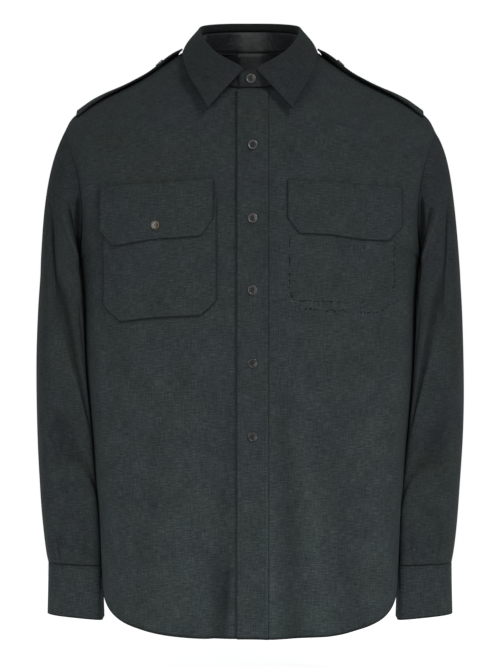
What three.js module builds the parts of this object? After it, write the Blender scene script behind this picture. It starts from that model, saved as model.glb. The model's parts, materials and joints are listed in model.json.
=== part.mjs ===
// A long-sleeved shirt in dark green-grey wool cloth, with shoulder straps and chest pockets.
// It keeps the form of someone standing in it. Millimetres, +Z up, the front faces -Y and the
// wearer's left is +X. The origin lies inside the neck end of the shoulders, where the shirt is held.
import * as THREE from 'three';

// Cloth and seams
const CLOTH = 1.2;
const BAND = 1.6;
const STRAP = 2.4;
const SEAM = 0.3;
const LAYER = 0.35;
const PATCH_GAP = 1;
const SLIT_BAND_LIFT = 2.4;

// Body
const NECK_HALF_WIDTH = 75;
const NECK_HALF_DEPTH = 84.5;
const NECK_CENTRE_Y = -12.5;
const UNDERARM_Z = -253;
const SIDE_HEM_Z = -655;
const FRONT_HEM_Z = -720.6;
const BACK_HEM_Z = -738;
const BODY_COLUMNS = 10;
const BODY_ROWS = 14;
const UNDERARM_POWER = 3.2;
const HEM_POWER = 2.7;
const LEVEL_POWER = 1.7;

// Front opening
const PLACKET_FROM = -15.9;
const PLACKET_TO = 22.6;
const UNDER_FRONT_TO = 19;
const FRONT_INSET = 3;
const BUTTON_X = 3.4;
const BUTTON_RADIUS = 5.8;
const POCKET_BUTTON_RADIUS = 5.2;
const BUTTON_THICKNESS = 2.4;
const BUTTON_GAP = 0.6;
const FRONT_BUTTONS_Z = [-115, -205, -293, -382, -472];

const table = (names, lines) => lines.map((line) => Object.fromEntries(
  names.split(' ').map((name, i) => [name, line[i]])));
const mix = (a, b, t) => a + (b - a) * t;
const clamp = (v, lo, hi) => Math.min(hi, Math.max(lo, v));
const smooth = (t) => t * t * (3 - 2 * t);
const rad = THREE.MathUtils.degToRad;
const vec = (x, y, z) => new THREE.Vector3(x, y, z);

// A smooth curve through the rows of a table, read at one value of its key column
function at(rows, key, value) {
  const last = rows.length - 1;
  const sign = Math.sign(rows[last][key] - rows[0][key]);
  let i = 0;
  while (i < last - 1 && sign * value > sign * rows[i + 1][key]) i++;
  const [a, b] = [rows[i], rows[i + 1]];
  const span = b[key] - a[key];
  const t = clamp((value - a[key]) / span, 0, 1);
  const slope = (j, name) => {
    const [p, q] = [rows[Math.max(j - 1, 0)], rows[Math.min(j + 1, last)]];
    return (q[name] - p[name]) / (q[key] - p[key]) * span;
  };
  const out = {};
  for (const name of Object.keys(a)) {
    out[name] = a[name] + t * (slope(i, name) + t * (3 * (b[name] - a[name]) - 2 * slope(i, name)
      - slope(i + 1, name) + t * (2 * (a[name] - b[name]) + slope(i, name) + slope(i + 1, name))));
  }
  return out;
}

// Neck seam: turn is 0 at the centre front, 90 at the shoulder and 180 at the centre back
const NECK_RISE = table('turn z', [
  [0, -44], [15, -43], [30, -38], [50, -25], [70, -6], [90, 9], [112, 13.5], [140, 16], [180, 16.5],
]);
const neckPoint = (turn) => vec(
  NECK_HALF_WIDTH * Math.sin(rad(turn)),
  NECK_CENTRE_Y - NECK_HALF_DEPTH * Math.cos(rad(turn)),
  at(NECK_RISE, 'turn', Math.abs(turn)).z);

// Armhole seam: turn is 0 at the shoulder tip and 180 at the underarm, round the front or the back
const ARMHOLE = { tipX: 235, tipY: 4, tipZ: -91, underX: 214, frontDepth: 68, backDepth: 75, scoop: 14 };
function armholePoint(turn, face) {
  const down = (1 - Math.cos(rad(turn))) / 2;
  const round = Math.sin(rad(turn));
  const depth = face === 'front' ? -ARMHOLE.frontDepth : ARMHOLE.backDepth;
  return vec(
    mix(ARMHOLE.tipX, ARMHOLE.underX, down) - ARMHOLE.scoop * round * round,
    mix(ARMHOLE.tipY, 0, down) + depth * round,
    mix(ARMHOLE.tipZ, UNDERARM_Z, down));
}

// Line of the shoulder from the neck to the sleeve
const SHOULDER = table('x z', [
  [75, 9], [85, 7.5], [92, 3.2], [103, -4.3], [111, -9.5], [122, -16.5], [148, -31.5], [182, -46.5],
  [208, -60.5], [220, -68.5], [228, -77], [235, -91],
]);

// Half width of the body under the arms, and how far front and back stand out
const SIDE = table('z x', [
  [-253, 214], [-300, 210], [-350, 208.6], [-400, 207], [-470, 200], [-520, 196], [-560, 192], [-640, 187.2],
  [-690, 184],
]);
const FRONT_DEPTH = table('z y', [
  [-44, -97], [-75, -106], [-115, -114], [-160, -120], [-200, -124], [-250, -125], [-350, -124],
  [-450, -121], [-550, -119], [-721, -118],
]);
const BACK_DEPTH = table('z y', [
  [16.5, 72], [-20, 91], [-60, 104], [-112, 113], [-160, 118], [-210, 119], [-270, 116], [-350, 110],
  [-430, 106], [-520, 106], [-620, 110], [-738, 113],
]);

// Rows of the front and back from the shoulder down to the underarm
// full: how squarely the section turns the side, ridge: how much of the shoulder's own line it keeps
const FRONT_NECK_ROWS = table('neckTurn armTurn full ridge', [
  [90, 0, 1, 1], [72, 16, 1.15, 0.85], [55, 32, 1.3, 0.65], [39, 48, 1.5, 0.45], [24, 64, 1.75, 0.28],
  [10, 80, 2, 0.12],
]);
const FRONT_CHEST_ROWS = table('centreZ armTurn full', [
  [-44.6, 95, 2.25], [-72, 110, 2.5], [-102, 125, 2.75], [-132, 142, 2.95], [-162, 160, 3.1], [-192, 180, 3.2],
]);
const BACK_NECK_ROWS = table('neckTurn armTurn full ridge', [
  [90, 0, 1, 1], [113, 8, 1.15, 0.85], [136, 16, 1.35, 0.65], [158, 24, 1.6, 0.5], [180, 32, 1.9, 0.35],
]);
const BACK_CHEST_ROWS = table('centreZ armTurn full', [
  [-48, 48, 2.1], [-112, 64, 2.3], [-132, 80, 2.5], [-150, 95, 2.65], [-168, 110, 2.8], [-186, 125, 2.95],
  [-203, 142, 3.05], [-220, 160, 3.15], [-238, 180, 3.2],
]);
const YOKE_SEAM_ROW = 6;

// Soft upright folds: a trough where depth is above zero, a ridge where it is below
const FOLDS = table('topX topZ footX footZ width depth', [
  [-88, -370, -128, -730, 26, 3.5],
  [-60, -480, -66, -730, 24, -3],
  [-32, -590, -42, -735, 9, 7],
  [34, -300, 26, -730, 18, -3],
  [52, -260, 74, -735, 20, 5.5],
  [98, -330, 108, -735, 22, -3],
  [128, -300, 134, -730, 24, 3],
]);
const BACK_FOLDS = table('topX topZ footX footZ width depth', [
  [-60, -150, -84, -745, 24, 4.5],
  [-14, -300, -6, -745, 26, -3],
  [48, -170, 70, -745, 22, 5],
  [118, -350, 126, -740, 24, 3],
]);
function foldDepth(folds, x, z) {
  let sum = 0;
  for (const fold of folds) {
    const down = (fold.topZ - z) / (fold.topZ - fold.footZ);
    if (down <= 0) continue;
    const across = (x - mix(fold.topX, fold.footX, down)) / fold.width;
    sum += fold.depth * smooth(Math.min(down * 2, 1)) * Math.exp(-across * across);
  }
  return sum;
}

// The rows of one face of the body, each with its inner end and its outer end
function bodyRows(face) {
  const front = face === 'front';
  const neckRows = front ? FRONT_NECK_ROWS : BACK_NECK_ROWS;
  const chestRows = front ? FRONT_CHEST_ROWS : BACK_CHEST_ROWS;
  const depth = front ? FRONT_DEPTH : BACK_DEPTH;
  const hemZ = front ? FRONT_HEM_Z : BACK_HEM_Z;
  const rows = [];
  for (const { neckTurn, armTurn, full, ridge } of neckRows) {
    const inner = neckPoint(neckTurn);
    rows.push({ inner, outer: armholePoint(armTurn, face), full, ridge, tail: 0 });
  }
  for (const { centreZ, armTurn, full } of chestRows) {
    const inner = vec(0, at(depth, 'z', centreZ).y, centreZ);
    rows.push({ inner, outer: armholePoint(armTurn, face), full, ridge: 0, tail: 0 });
  }
  const startZ = chestRows[chestRows.length - 1].centreZ;
  for (let i = 1; i <= BODY_ROWS; i++) {
    const down = i / BODY_ROWS;
    const centreZ = mix(startZ, hemZ, down);
    const sideZ = mix(UNDERARM_Z, SIDE_HEM_Z, down);
    const inner = vec(0, at(depth, 'z', centreZ).y, centreZ);
    const outer = vec(at(SIDE, 'z', sideZ).x, 0, sideZ);
    rows.push({ inner, outer, full: mix(UNDERARM_POWER, HEM_POWER, down), ridge: 0, tail: smooth(down) });
  }
  return rows;
}
const ROWS = { front: bodyRows('front'), back: bodyRows('back') };

// A point of the body at distance x from the centre line, on the given row.
// A row stays level near the centre line and drops towards the side.
function bodyPoint(face, row, x) {
  const { inner, outer, full, ridge, tail } = row;
  const f = clamp(Math.abs(x) / outer.x, 0, 1);
  const bow = (s) => Math.pow(1 - Math.pow(s, full), 1 / full);
  const y = outer.y + (inner.y - outer.y) * bow(f) / bow(inner.x / outer.x);
  const share = clamp((Math.abs(x) - inner.x) / (outer.x - inner.x), 0, 1);
  const turned = Math.pow(Math.asin(f) / (Math.PI / 2), 3);
  const level = Math.pow(share, mix(LEVEL_POWER, 1, ridge));
  let z = mix(inner.z, outer.z, mix(level, turned, tail));
  if (ridge) {
    const straight = mix(SHOULDER[0].z, ARMHOLE.tipZ, share);
    z += ridge * (at(SHOULDER, 'x', mix(NECK_HALF_WIDTH, ARMHOLE.tipX, share)).z - straight);
  }
  const sign = face === 'front' ? 1 : -1;
  const pushed = y + sign * foldDepth(sign > 0 ? FOLDS : BACK_FOLDS, x, z) * bow(f);
  return vec(x, pushed, z);
}

// The columns of a row from x0 to the outer end, closer together where the side turns
// bandX: the columns of the front band, which the rows below the neck start with
function bodyGrid(face, side, rows, bandX = []) {
  return rows.map((row) => {
    const band = row.inner.x > 0 ? [] : bandX;
    const from = Math.asin((band.length ? band[band.length - 1] : row.inner.x) / row.outer.x);
    const count = BODY_COLUMNS - Math.max(band.length - 1, 0);
    const line = band.slice(0, -1).map((x) => bodyPoint(face, row, side * x));
    for (let i = 0; i <= count; i++) {
      const x = row.outer.x * Math.sin(mix(from, Math.PI / 2, i / count));
      line.push(bodyPoint(face, row, side * x));
    }
    return line;
  });
}

// A closed wall made from one or more grids of outer points that meet at shared points
// beside: grids of the pieces sewn to it, which only turn its edges; lift: how far it is moved out
function wall(grids, core, { thick = CLOTH, lift = 0, beside = [], shift = null } = {}) {
  const points = [];
  const index = new Map();
  const number = (p) => {
    const key = p.toArray().map((v) => Math.round(v * 500)).join();
    if (!index.has(key)) {
      index.set(key, points.length);
      points.push(p.clone());
    }
    return index.get(key);
  };
  const facesOf = (grid) => {
    const faces = [];
    for (let r = 0; r + 1 < grid.length; r++) {
      for (let c = 0; c + 1 < grid[0].length; c++) {
        const [a, b, d, e] = [grid[r][c], grid[r][c + 1], grid[r + 1][c], grid[r + 1][c + 1]].map(number);
        const halves = (r + c) % 2 ? [[a, d, b], [b, d, e]] : [[a, d, e], [a, e, b]];
        faces.push(...halves.filter(([p, q, s]) => p !== q && q !== s && s !== p));
      }
    }
    return faces;
  };
  const normalOf = ([a, b, c]) => new THREE.Vector3().crossVectors(
    points[b].clone().sub(points[a]), points[c].clone().sub(points[a]));
  const outward = (faces, centre) => {
    const sum = faces.reduce((total, face) => {
      const corner = points[face[0]];
      return total + normalOf(face).dot(corner.clone().sub(centre(corner)));
    }, 0);
    return sum < 0 ? faces.map(([a, b, c]) => [a, c, b]) : faces;
  };
  const own = grids.flatMap((grid) => outward(facesOf(grid), core));
  const others = beside.map((other) => outward(facesOf(other.grid), other.core));
  const normals = points.map(() => new THREE.Vector3());
  for (const face of [own, ...others].flat()) {
    const normal = normalOf(face);
    face.forEach((i) => normals[i].add(normal));
  }
  normals.forEach((normal) => normal.normalize());
  const uses = new Map();
  for (const face of own) {
    face.forEach((a, i) => {
      const b = face[(i + 1) % 3];
      uses.set(`${a}_${b}`, [a, b]);
    });
  }
  const border = [...uses.values()].filter(([a, b]) => !uses.has(`${b}_${a}`));
  const trims = new Map();
  for (const [a, b] of border) {
    const along = points[b].clone().sub(points[a]).normalize();
    for (const i of [a, b]) {
      const inwards = new THREE.Vector3().crossVectors(normals[i], along);
      trims.set(i, (trims.get(i) ?? new THREE.Vector3()).add(inwards));
    }
  }
  const used = [...new Set(own.flat())];
  const place = new Map(used.map((i, n) => [i, n]));
  const position = [];
  for (const reach of [lift, lift - thick]) {
    for (const i of used) {
      const p = points[i].clone().addScaledVector(normals[i], reach);
      if (trims.has(i)) p.addScaledVector(trims.get(i).clone().normalize(), SEAM / 2);
      if (shift) p.add(shift(points[i]));
      position.push(...p.toArray());
    }
  }
  const skin = used.length;
  const faces = own.map((face) => face.map((i) => place.get(i)));
  const inside = faces.map(([a, b, c]) => [a + skin, c + skin, b + skin]);
  const rim = border.flatMap(([a, b]) => {
    const [p, q] = [place.get(a), place.get(b)];
    return [[q, p, p + skin], [q, p + skin, q + skin]];
  });
  const geometry = new THREE.BufferGeometry();
  geometry.setAttribute('position', new THREE.Float32BufferAttribute(position, 3));
  geometry.setIndex([...faces, ...inside, ...rim].flat());
  geometry.computeVertexNormals();
  return geometry;
}
const bodyCore = (p) => vec(0, 0, p.z - 20);
const neckCore = (p) => vec(0, NECK_CENTRE_Y, p.z);

const CLOTH_COLOUR = 0x323939;
const LINING_COLOUR = 0x3c3e3d;
const HORN_COLOUR = 0x3b3a36;
const TAN_HORN_COLOUR = 0x6f5c45;
const cloth = (color = CLOTH_COLOUR) => new THREE.MeshStandardMaterial({ color, roughness: 0.92, metalness: 0 });
const horn = (color = HORN_COLOUR) => new THREE.MeshStandardMaterial({ color, roughness: 0.3, metalness: 0 });

const shirt = new THREE.Group();
function add(name, geometry, material = cloth()) {
  const mesh = new THREE.Mesh(geometry, material);
  mesh.name = name;
  shirt.add(mesh);
  return mesh;
}

// Sleeves: the outer line, the inner line beside the body, and how far front and back stand out.
// The body side is squarer than the outer side, and hug draws its corners in against the body.
const INNER_POWER = 5;
const SLEEVE = table('outX outZ inX inZ front back scoop power hug', [
  [235, -91, 214, -253, 68, 75, 14, 2, 0],
  [241.2, -103, 216.2, -262, 72, 78, 12, 2.05, 3],
  [248, -123, 216.6, -273, 75, 79, 9, 2.15, 9],
  [254, -152, 216.4, -287, 77, 80, 6, 2.3, 15],
  [259, -190, 215.6, -305, 78, 80, 3, 2.4, 18],
  [262.6, -232, 214.2, -328, 78, 79, 1, 2.5, 18],
  [265.6, -280, 212.6, -354, 76, 77, 0, 2.5, 18],
  [268, -330, 211, -386, 73, 75, 0, 2.5, 18],
  [269.5, -380, 208.6, -420, 70, 72, 0, 2.5, 18],
  [269.7, -430, 205.6, -455, 66, 68, 0, 2.5, 18],
  [268.6, -480, 202, -492, 61, 63, 0, 2.5, 18],
  [266.4, -526, 198.6, -530, 56, 58, 0, 2.5, 18],
  [263.7, -568, 195.2, -569, 51, 53, 0, 2.5, 18],
  [259.8, -604, 192, -605, 46, 48, 0, 2.5, 14.5],
  [255, -635, 189.4, -638, 42, 43, 0, 2.5, 10.5],
]).map((row, station) => ({ ...row, station }));
const CUFF = table('outX outZ inX inZ front back scoop power hug station', [
  [255, -635, 189.4, -638, 42, 43, 0, 2.5, 10.5, 14],
  [255.4, -668, 187.4, -672, 40, 41, 0, 2.8, 6, 15],
  [256, -698.5, 185.6, -706, 40, 41, 0, 3, 3, 16],
]);
const sleeveY = (station) => mix(ARMHOLE.tipY, 0, clamp(station / 4, 0, 1));

// Sleeve creases: station and turn at each end; turn 90 is the front and 0 the outer line
const CREASES = table('fromStation fromTurn toStation toTurn width depth', [
  [3.2, 52, 9.6, 118, 13, 6],
  [8.8, 46, 12, 112, 12, 4.5],
  [2.2, 118, 5, 150, 12, 5],
  [4.5, -60, 10, -112, 13, 5],
]);
function creaseDepth(station, turn) {
  let sum = 0;
  for (const crease of CREASES) {
    const along = (station - crease.fromStation) / (crease.toStation - crease.fromStation);
    const ends = smooth(clamp(along * 4, 0, 1)) * smooth(clamp((1 - along) * 4, 0, 1));
    const across = (turn - mix(crease.fromTurn, crease.toTurn, along)) / crease.width;
    sum += crease.depth * ends * Math.exp(-across * across);
  }
  return sum;
}
function tubePoint(row, turn, side) {
  const [cos, sin] = [Math.cos(rad(turn)), Math.sin(rad(turn))];
  const inner = cos < 0 ? smooth(clamp(row.station / 4, 0, 1)) : 0;
  const bent = (v) => Math.pow(Math.abs(v), 2 / mix(row.power, INNER_POWER, inner));
  const [across, deep] = [bent(cos), bent(sin)];
  const down = (1 - Math.sign(cos) * across) / 2;
  const dent = creaseDepth(row.station, turn);
  const inwards = row.scoop * sin * sin + dent * cos + inner * row.hug * deep ** 3 * across ** 2;
  const depth = (sin > 0 ? -row.front : row.back) * deep + Math.sign(sin) * dent * sin * sin;
  const y = mix(sleeveY(row.station), 0, down) + depth;
  return vec(side * (mix(row.outX, row.inX, down) - inwards), y, mix(row.outZ, row.inZ, down));
}
const SLEEVE_TURNS = [
  ...[...FRONT_NECK_ROWS, ...FRONT_CHEST_ROWS].map((row) => row.armTurn),
  ...[...BACK_NECK_ROWS, ...BACK_CHEST_ROWS].map((row) => -row.armTurn).slice(1, -1).reverse(),
];
const sleeveGrid = (side) => SLEEVE.map((row) => SLEEVE_TURNS.map((turn) => tubePoint(row, turn, side)));
const sleeveCore = (side) => (p) => vec(side * 236, 0, p.z);

// Fronts, yoke and back
const LEFT_BAND = [PLACKET_FROM, BUTTON_X, PLACKET_TO];
const RIGHT_BAND = [-UNDER_FRONT_TO, 0, UNDER_FRONT_TO];
const frontGrid = (side, band) => bodyGrid('front', side, ROWS.front, band);
const YOKE_ROWS = ROWS.back.slice(0, YOKE_SEAM_ROW + 1);
const BACK_ROWS = ROWS.back.slice(YOKE_SEAM_ROW);
const halves = (rows) => [1, -1].map((side) => bodyGrid('back', side, rows));

function tuckedUnder(grid) {
  return grid.map((line) => line.map((p) => {
    const under = smooth(clamp((60 + p.x) / 30, 0, 1));
    return vec(p.x, p.y + FRONT_INSET * under, p.z);
  }));
}
function addBody() {
  const sleeves = [1, -1].map((side) => ({
    grid: ringClosed(sleeveGrid(side)).slice(0, 2),
    core: sleeveCore(side),
  }));
  const backs = halves(ROWS.back).map((grid) => ({ grid, core: bodyCore }));
  const left = frontGrid(1, LEFT_BAND);
  const right = frontGrid(-1, RIGHT_BAND);
  add('front_left', wall([left], bodyCore, { beside: [sleeves[0], backs[0]] }));
  add('front_right', wall([tuckedUnder(right)], bodyCore, { beside: [sleeves[1], backs[1]] }));
  const fronts = [left, tuckedUnder(right)].map((grid) => ({ grid, core: bodyCore }));
  const yoke = halves(YOKE_ROWS);
  const back = halves(BACK_ROWS);
  const asBeside = (grids) => grids.map((grid) => ({ grid, core: bodyCore }));
  add('yoke', wall(yoke, bodyCore, { beside: [...sleeves, ...fronts, ...asBeside(back)] }));
  add('back', wall(back, bodyCore, { beside: [...sleeves, ...fronts, ...asBeside(yoke)] }));
  add('yoke_inner', wall(yoke.map((grid) => grid.map((line) => line.slice(0, -2))), bodyCore,
    { lift: -CLOTH - LAYER }), cloth(LINING_COLOUR));
}
const ringClosed = (grid) => grid.map((line) => [...line, line[0]]);

// Each sleeve stands a little off the body under the arm, where its seam folds back on itself
const UNDERARM_STEP = 1;
function addSleeves() {
  for (const [name, side] of [['left', 1], ['right', -1]]) {
    const panels = [frontGrid(side, []), bodyGrid('back', side, ROWS.back)];
    const beside = panels.map((grid) => ({ grid, core: bodyCore }));
    const shift = (p) => vec(side * UNDERARM_STEP * smooth(clamp((-p.z - 100) / 90, 0, 1)), 0, 0);
    add(`sleeve_${name}`, wall([ringClosed(sleeveGrid(side))], sleeveCore(side), { beside, shift }));
  }
}

// A point of the front at a given x and z, with the direction that faces out
function frontPlace(x, z) {
  const rows = ROWS.front;
  const onRow = (v) => {
    const i = Math.min(Math.floor(v), rows.length - 2);
    return bodyPoint('front', rows[i], x).lerp(bodyPoint('front', rows[i + 1], x), v - i);
  };
  let [low, high] = [FRONT_NECK_ROWS.length, rows.length - 1];
  while (high - low > 1e-4) {
    const middle = (low + high) / 2;
    if (onRow(middle).z > z) low = middle;
    else high = middle;
  }
  return onRow(low);
}

// A patch on the front: x, top and bottom of each upright line, from side to side
function patchGrid(outline, rows) {
  return Array.from({ length: rows + 1 }, (_, r) => outline.map(({ x, top, bottom }) => (
    frontPlace(x, mix(top, bottom, r / rows)))));
}
const frontCore = (p) => vec(p.x * 0.6, 0, p.z);
const POCKET_RIGHT = table('x top bottom', [
  [-181, -196, -309], [-174.5, -195, -319], [-160, -193, -332.5], [-138, -190, -330], [-116.5, -188, -327.5],
  [-95, -186, -326.4], [-78, -184.5, -325.6], [-60.5, -183, -324.8], [-50, -182, -316], [-41, -181, -306],
]);
const FLAP_RIGHT = table('x top bottom', [
  [-183.5, -166, -219.9], [-175, -165.5, -228.5], [-165.3, -165, -239], [-142, -163.6, -235],
  [-116.6, -162, -231], [-96, -160.6, -229.7], [-78, -159.4, -228.5], [-60, -158.2, -227.3],
  [-52, -157.8, -216], [-44.7, -157.4, -204],
]);
const FLAP_LEFT = table('x top bottom', [
  [45.5, -157.1, -203], [53, -157.4, -213.5], [61, -157.8, -224], [79, -159, -224.5], [97, -160.5, -225.2],
  [119, -162.6, -228.4], [141.4, -164.4, -231.4], [169, -165.6, -232.3], [178, -165.9, -223.5],
  [187.5, -166.2, -214],
]);
function addPockets() {
  add('pocket_right', wall([patchGrid(POCKET_RIGHT, 8)], frontCore, { lift: PATCH_GAP + CLOTH }));
  add('flap_right', wall([patchGrid(FLAP_RIGHT, 4)], frontCore,
    { thick: BAND, lift: 2 * PATCH_GAP + CLOTH + BAND }));
  add('flap_left', wall([patchGrid(FLAP_LEFT, 4)], frontCore, { thick: BAND, lift: PATCH_GAP + BAND }));
}

// The buttonhole band down the front
function addPlacket() {
  const rows = ROWS.front.slice(FRONT_NECK_ROWS.length);
  add('placket', wall([rows.map((row) => LEFT_BAND.map((x) => bodyPoint('front', row, x)))], bodyCore,
    { lift: CLOTH + LAYER }));
}

// Collar, from the front end of the leaf to the centre back
const COLLAR = table('part rollX rollY rollZ edgeX edgeY edgeZ drop', [
  [0, 8, -95.5, -19.5, 53, -116, -71.5, 1.5],
  [1, 14, -94.5, -15, 58, -113, -59, 2.5],
  [2, 25.4, -88, -8.5, 66, -104, -45.5, 4.5],
  [3, 39.9, -76, 1.5, 75.5, -88, -28, 6],
  [4, 50, -62, 12, 81.5, -66, -12, 7.5],
  [5, 56.5, -47, 21, 84.5, -42, 1.5, 8.5],
  [6, 61.2, -25, 32, 85, -14, 10, 9],
  [7, 62, 2, 40.5, 83, 17, 12, 9.5],
  [8, 58.5, 28, 46.5, 75.5, 48, 11.5, 10],
  [9, 45, 50, 50.8, 57, 73, 10, 10],
  [10, 24, 63, 53.2, 30, 86, 8.8, 10],
  [11, 0, 67, 53.7, 0, 90, 8.4, 10],
]);
const LEAF_STEPS = 4;
function collarRing(pick) {
  const half = COLLAR.map(pick);
  const other = half.slice(0, -1).reverse().map((p) => vec(-p.x, p.y, p.z));
  return [...half, ...other];
}
function addCollarFall() {
  const outwards = ({ rollX, rollY }) => vec(rollX, rollY - NECK_CENTRE_Y, 0).normalize();
  const rings = [
    collarRing((c) => vec(c.rollX, c.rollY, c.rollZ - c.drop + LAYER)),
    collarRing((c) => vec(c.rollX, c.rollY, c.rollZ - 0.3 * c.drop)),
    collarRing((c) => vec(c.rollX, c.rollY, c.rollZ + 0.6).addScaledVector(outwards(c), 1.6)),
    collarRing((c) => vec(c.rollX, c.rollY, c.rollZ - 2).addScaledVector(outwards(c), 4.6)),
  ];
  for (let i = 1; i <= LEAF_STEPS; i++) {
    const t = i / LEAF_STEPS;
    rings.push(collarRing((c) => {
      const start = vec(c.rollX, c.rollY, c.rollZ - 2).addScaledVector(outwards(c), 4.6);
      const bulge = 3 * Math.sin(Math.PI * t);
      return start.lerp(vec(c.edgeX, c.edgeY, c.edgeZ), t).addScaledVector(outwards(c), bulge);
    }));
  }
  add('collar_fall', wall([rings], neckCore, { thick: BAND }));
}

// The stand runs once round the neck and past itself in front, the wearer's left end outside
const STAND_TURNS = [
  -10.5, -2, 8, 20, 34, 48, 62, 76, 90, 106, 122, 140, 160, 180, 200, 220, 238, 254, 270, 284, 298, 312, 326,
  340, 352, 362, 373,
];
const STAND_OVERLAP = 2.3;
const STAND_FOOT_GAP = 0.7;
const STAND_TOP_GAP = 0.9;
function addStand() {
  const rollAt = (turn) => {
    const folded = Math.min(Math.abs(turn), Math.abs(360 - turn));
    const rows = COLLAR.map((c) => ({
      turn: THREE.MathUtils.radToDeg(Math.atan2(c.rollX, -(c.rollY + 14))), drop: c.drop, z: c.rollZ,
      radius: Math.hypot(c.rollX, c.rollY + 14),
    }));
    const first = rows[0];
    if (folded <= first.turn) return { ...first, turn: folded };
    return at(rows, 'turn', folded);
  };
  const rings = [0, 0.5, 1].map((up) => STAND_TURNS.map((turn) => {
    const signed = turn > 180 ? turn - 360 : turn;
    const foot = neckPoint(signed);
    foot.z += STAND_FOOT_GAP;
    const roll = rollAt(turn);
    const top = vec(roll.radius * Math.sin(rad(turn)), -14 - roll.radius * Math.cos(rad(turn)),
      roll.z - roll.drop - STAND_TOP_GAP);
    const p = foot.lerp(top, up);
    const under = STAND_OVERLAP * smooth(clamp((turn - 330) / 22, 0, 1));
    const reach = vec(p.x, p.y - NECK_CENTRE_Y, 0).normalize();
    return p.addScaledVector(reach, -under);
  }));
  add('collar_stand', wall([rings], neckCore, { thick: BAND, lift: BAND - 0.05 }));
}

// Cuffs: an open band each, lapped at the back where its button is
const CUFF_TURNS = [-48, -30, -10, 8, 26, 44, 60, 76, 90, 106, 124, 142, 160, 178, 196, 214, 232, 250, 266, 282,
  296, 308, 318];
const CUFF_LAP = 2.2;
const CUFF_BUTTON_TURN = -36;
function addCuffs() {
  for (const [name, side] of [['left', 1], ['right', -1]]) {
    const grid = CUFF.map((row) => CUFF_TURNS.map((turn) => {
      const p = tubePoint(row, turn, side);
      const inwards = vec(side * 224 - p.x, -p.y, 0).normalize();
      return p.addScaledVector(inwards, CUFF_LAP * smooth(clamp((turn - 280) / 24, 0, 1)));
    }));
    add(`cuff_${name}`, wall([grid], (p) => vec(side * 224, 0, p.z), { thick: BAND }));
  }
}

// The slit above each cuff is covered by a narrow band on the back of the sleeve
function addSleevePlackets() {
  const stations = [11.2, 12, 13, 13.9];
  const turns = [-66, -76, -86];
  for (const [name, side] of [['left', 1], ['right', -1]]) {
    const grid = stations.map((station) => turns.map((turn) => (
      tubePoint(at(SLEEVE, 'station', station), turn, side))));
    add(`sleeve_placket_${name}`, wall([grid], sleeveCore(side), { lift: SLIT_BAND_LIFT }));
  }
}

// Shoulder straps, from the free end by the collar to the sleeve seam: the middle line, half the
// width, how far both edges sag below the middle, and how much further the back edge falls
const STRAP_LINE = table('x y z half sag fall', [
  [86, -8.5, 14.4, 4, 0.2, 0.4], [89, -8, 12.7, 12, 0.3, 1.8], [93, -7.4, 10.9, 17, 0.4, 2.4],
  [98, -7, 8.1, 19, 0.4, 2.8], [106, -6.6, 2.6, 20.5, 0.4, 2], [116, -6, -6, 21, 0.4, 1],
  [130, -4.6, -16.4, 22, 0.4, 0], [148, -3, -25.7, 23, 0.4, 0], [166, -1.6, -34, 24, 1.2, 0],
  [184, -0.2, -41.6, 25, 3, 0], [200, 1.2, -49.7, 26, 5, 0], [212, 2.4, -57.8, 27, 6.8, 0],
  [219, 3, -62.8, 27, 7.6, 0],
]);
const STRAP_TILT = 0.09;
const STRAP_BUTTON_X = 113;
const STRAP_DIP = 2.4;
const STRAP_CORE_Z = -300;
const STRAP_BUTTON_GAP = 1.05;
function strapPoint(x, across, side) {
  const { y, z, half, sag, fall } = at(STRAP_LINE, 'x', x);
  const off = across * half;
  const fromButton = (x - STRAP_BUTTON_X) / 14;
  const dip = STRAP_DIP * Math.exp(-fromButton * fromButton) * (1 - across * across);
  const behind = Math.max(across, 0);
  const bow = sag * across * across + fall * behind * behind;
  return vec(side * x, y + off, z + STRAP_TILT * off - bow - dip);
}
function addStraps() {
  for (const [name, side] of [['left', 1], ['right', -1]]) {
    const line = (x) => [-1, -0.5, 0, 0.5, 1].map((across) => strapPoint(x, across, side));
    const grid = STRAP_LINE.map(({ x }) => line(x));
    add(`epaulette_${name}`, wall([grid], (p) => vec(p.x, 0, STRAP_CORE_Z), { thick: STRAP }));
  }
}

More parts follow.
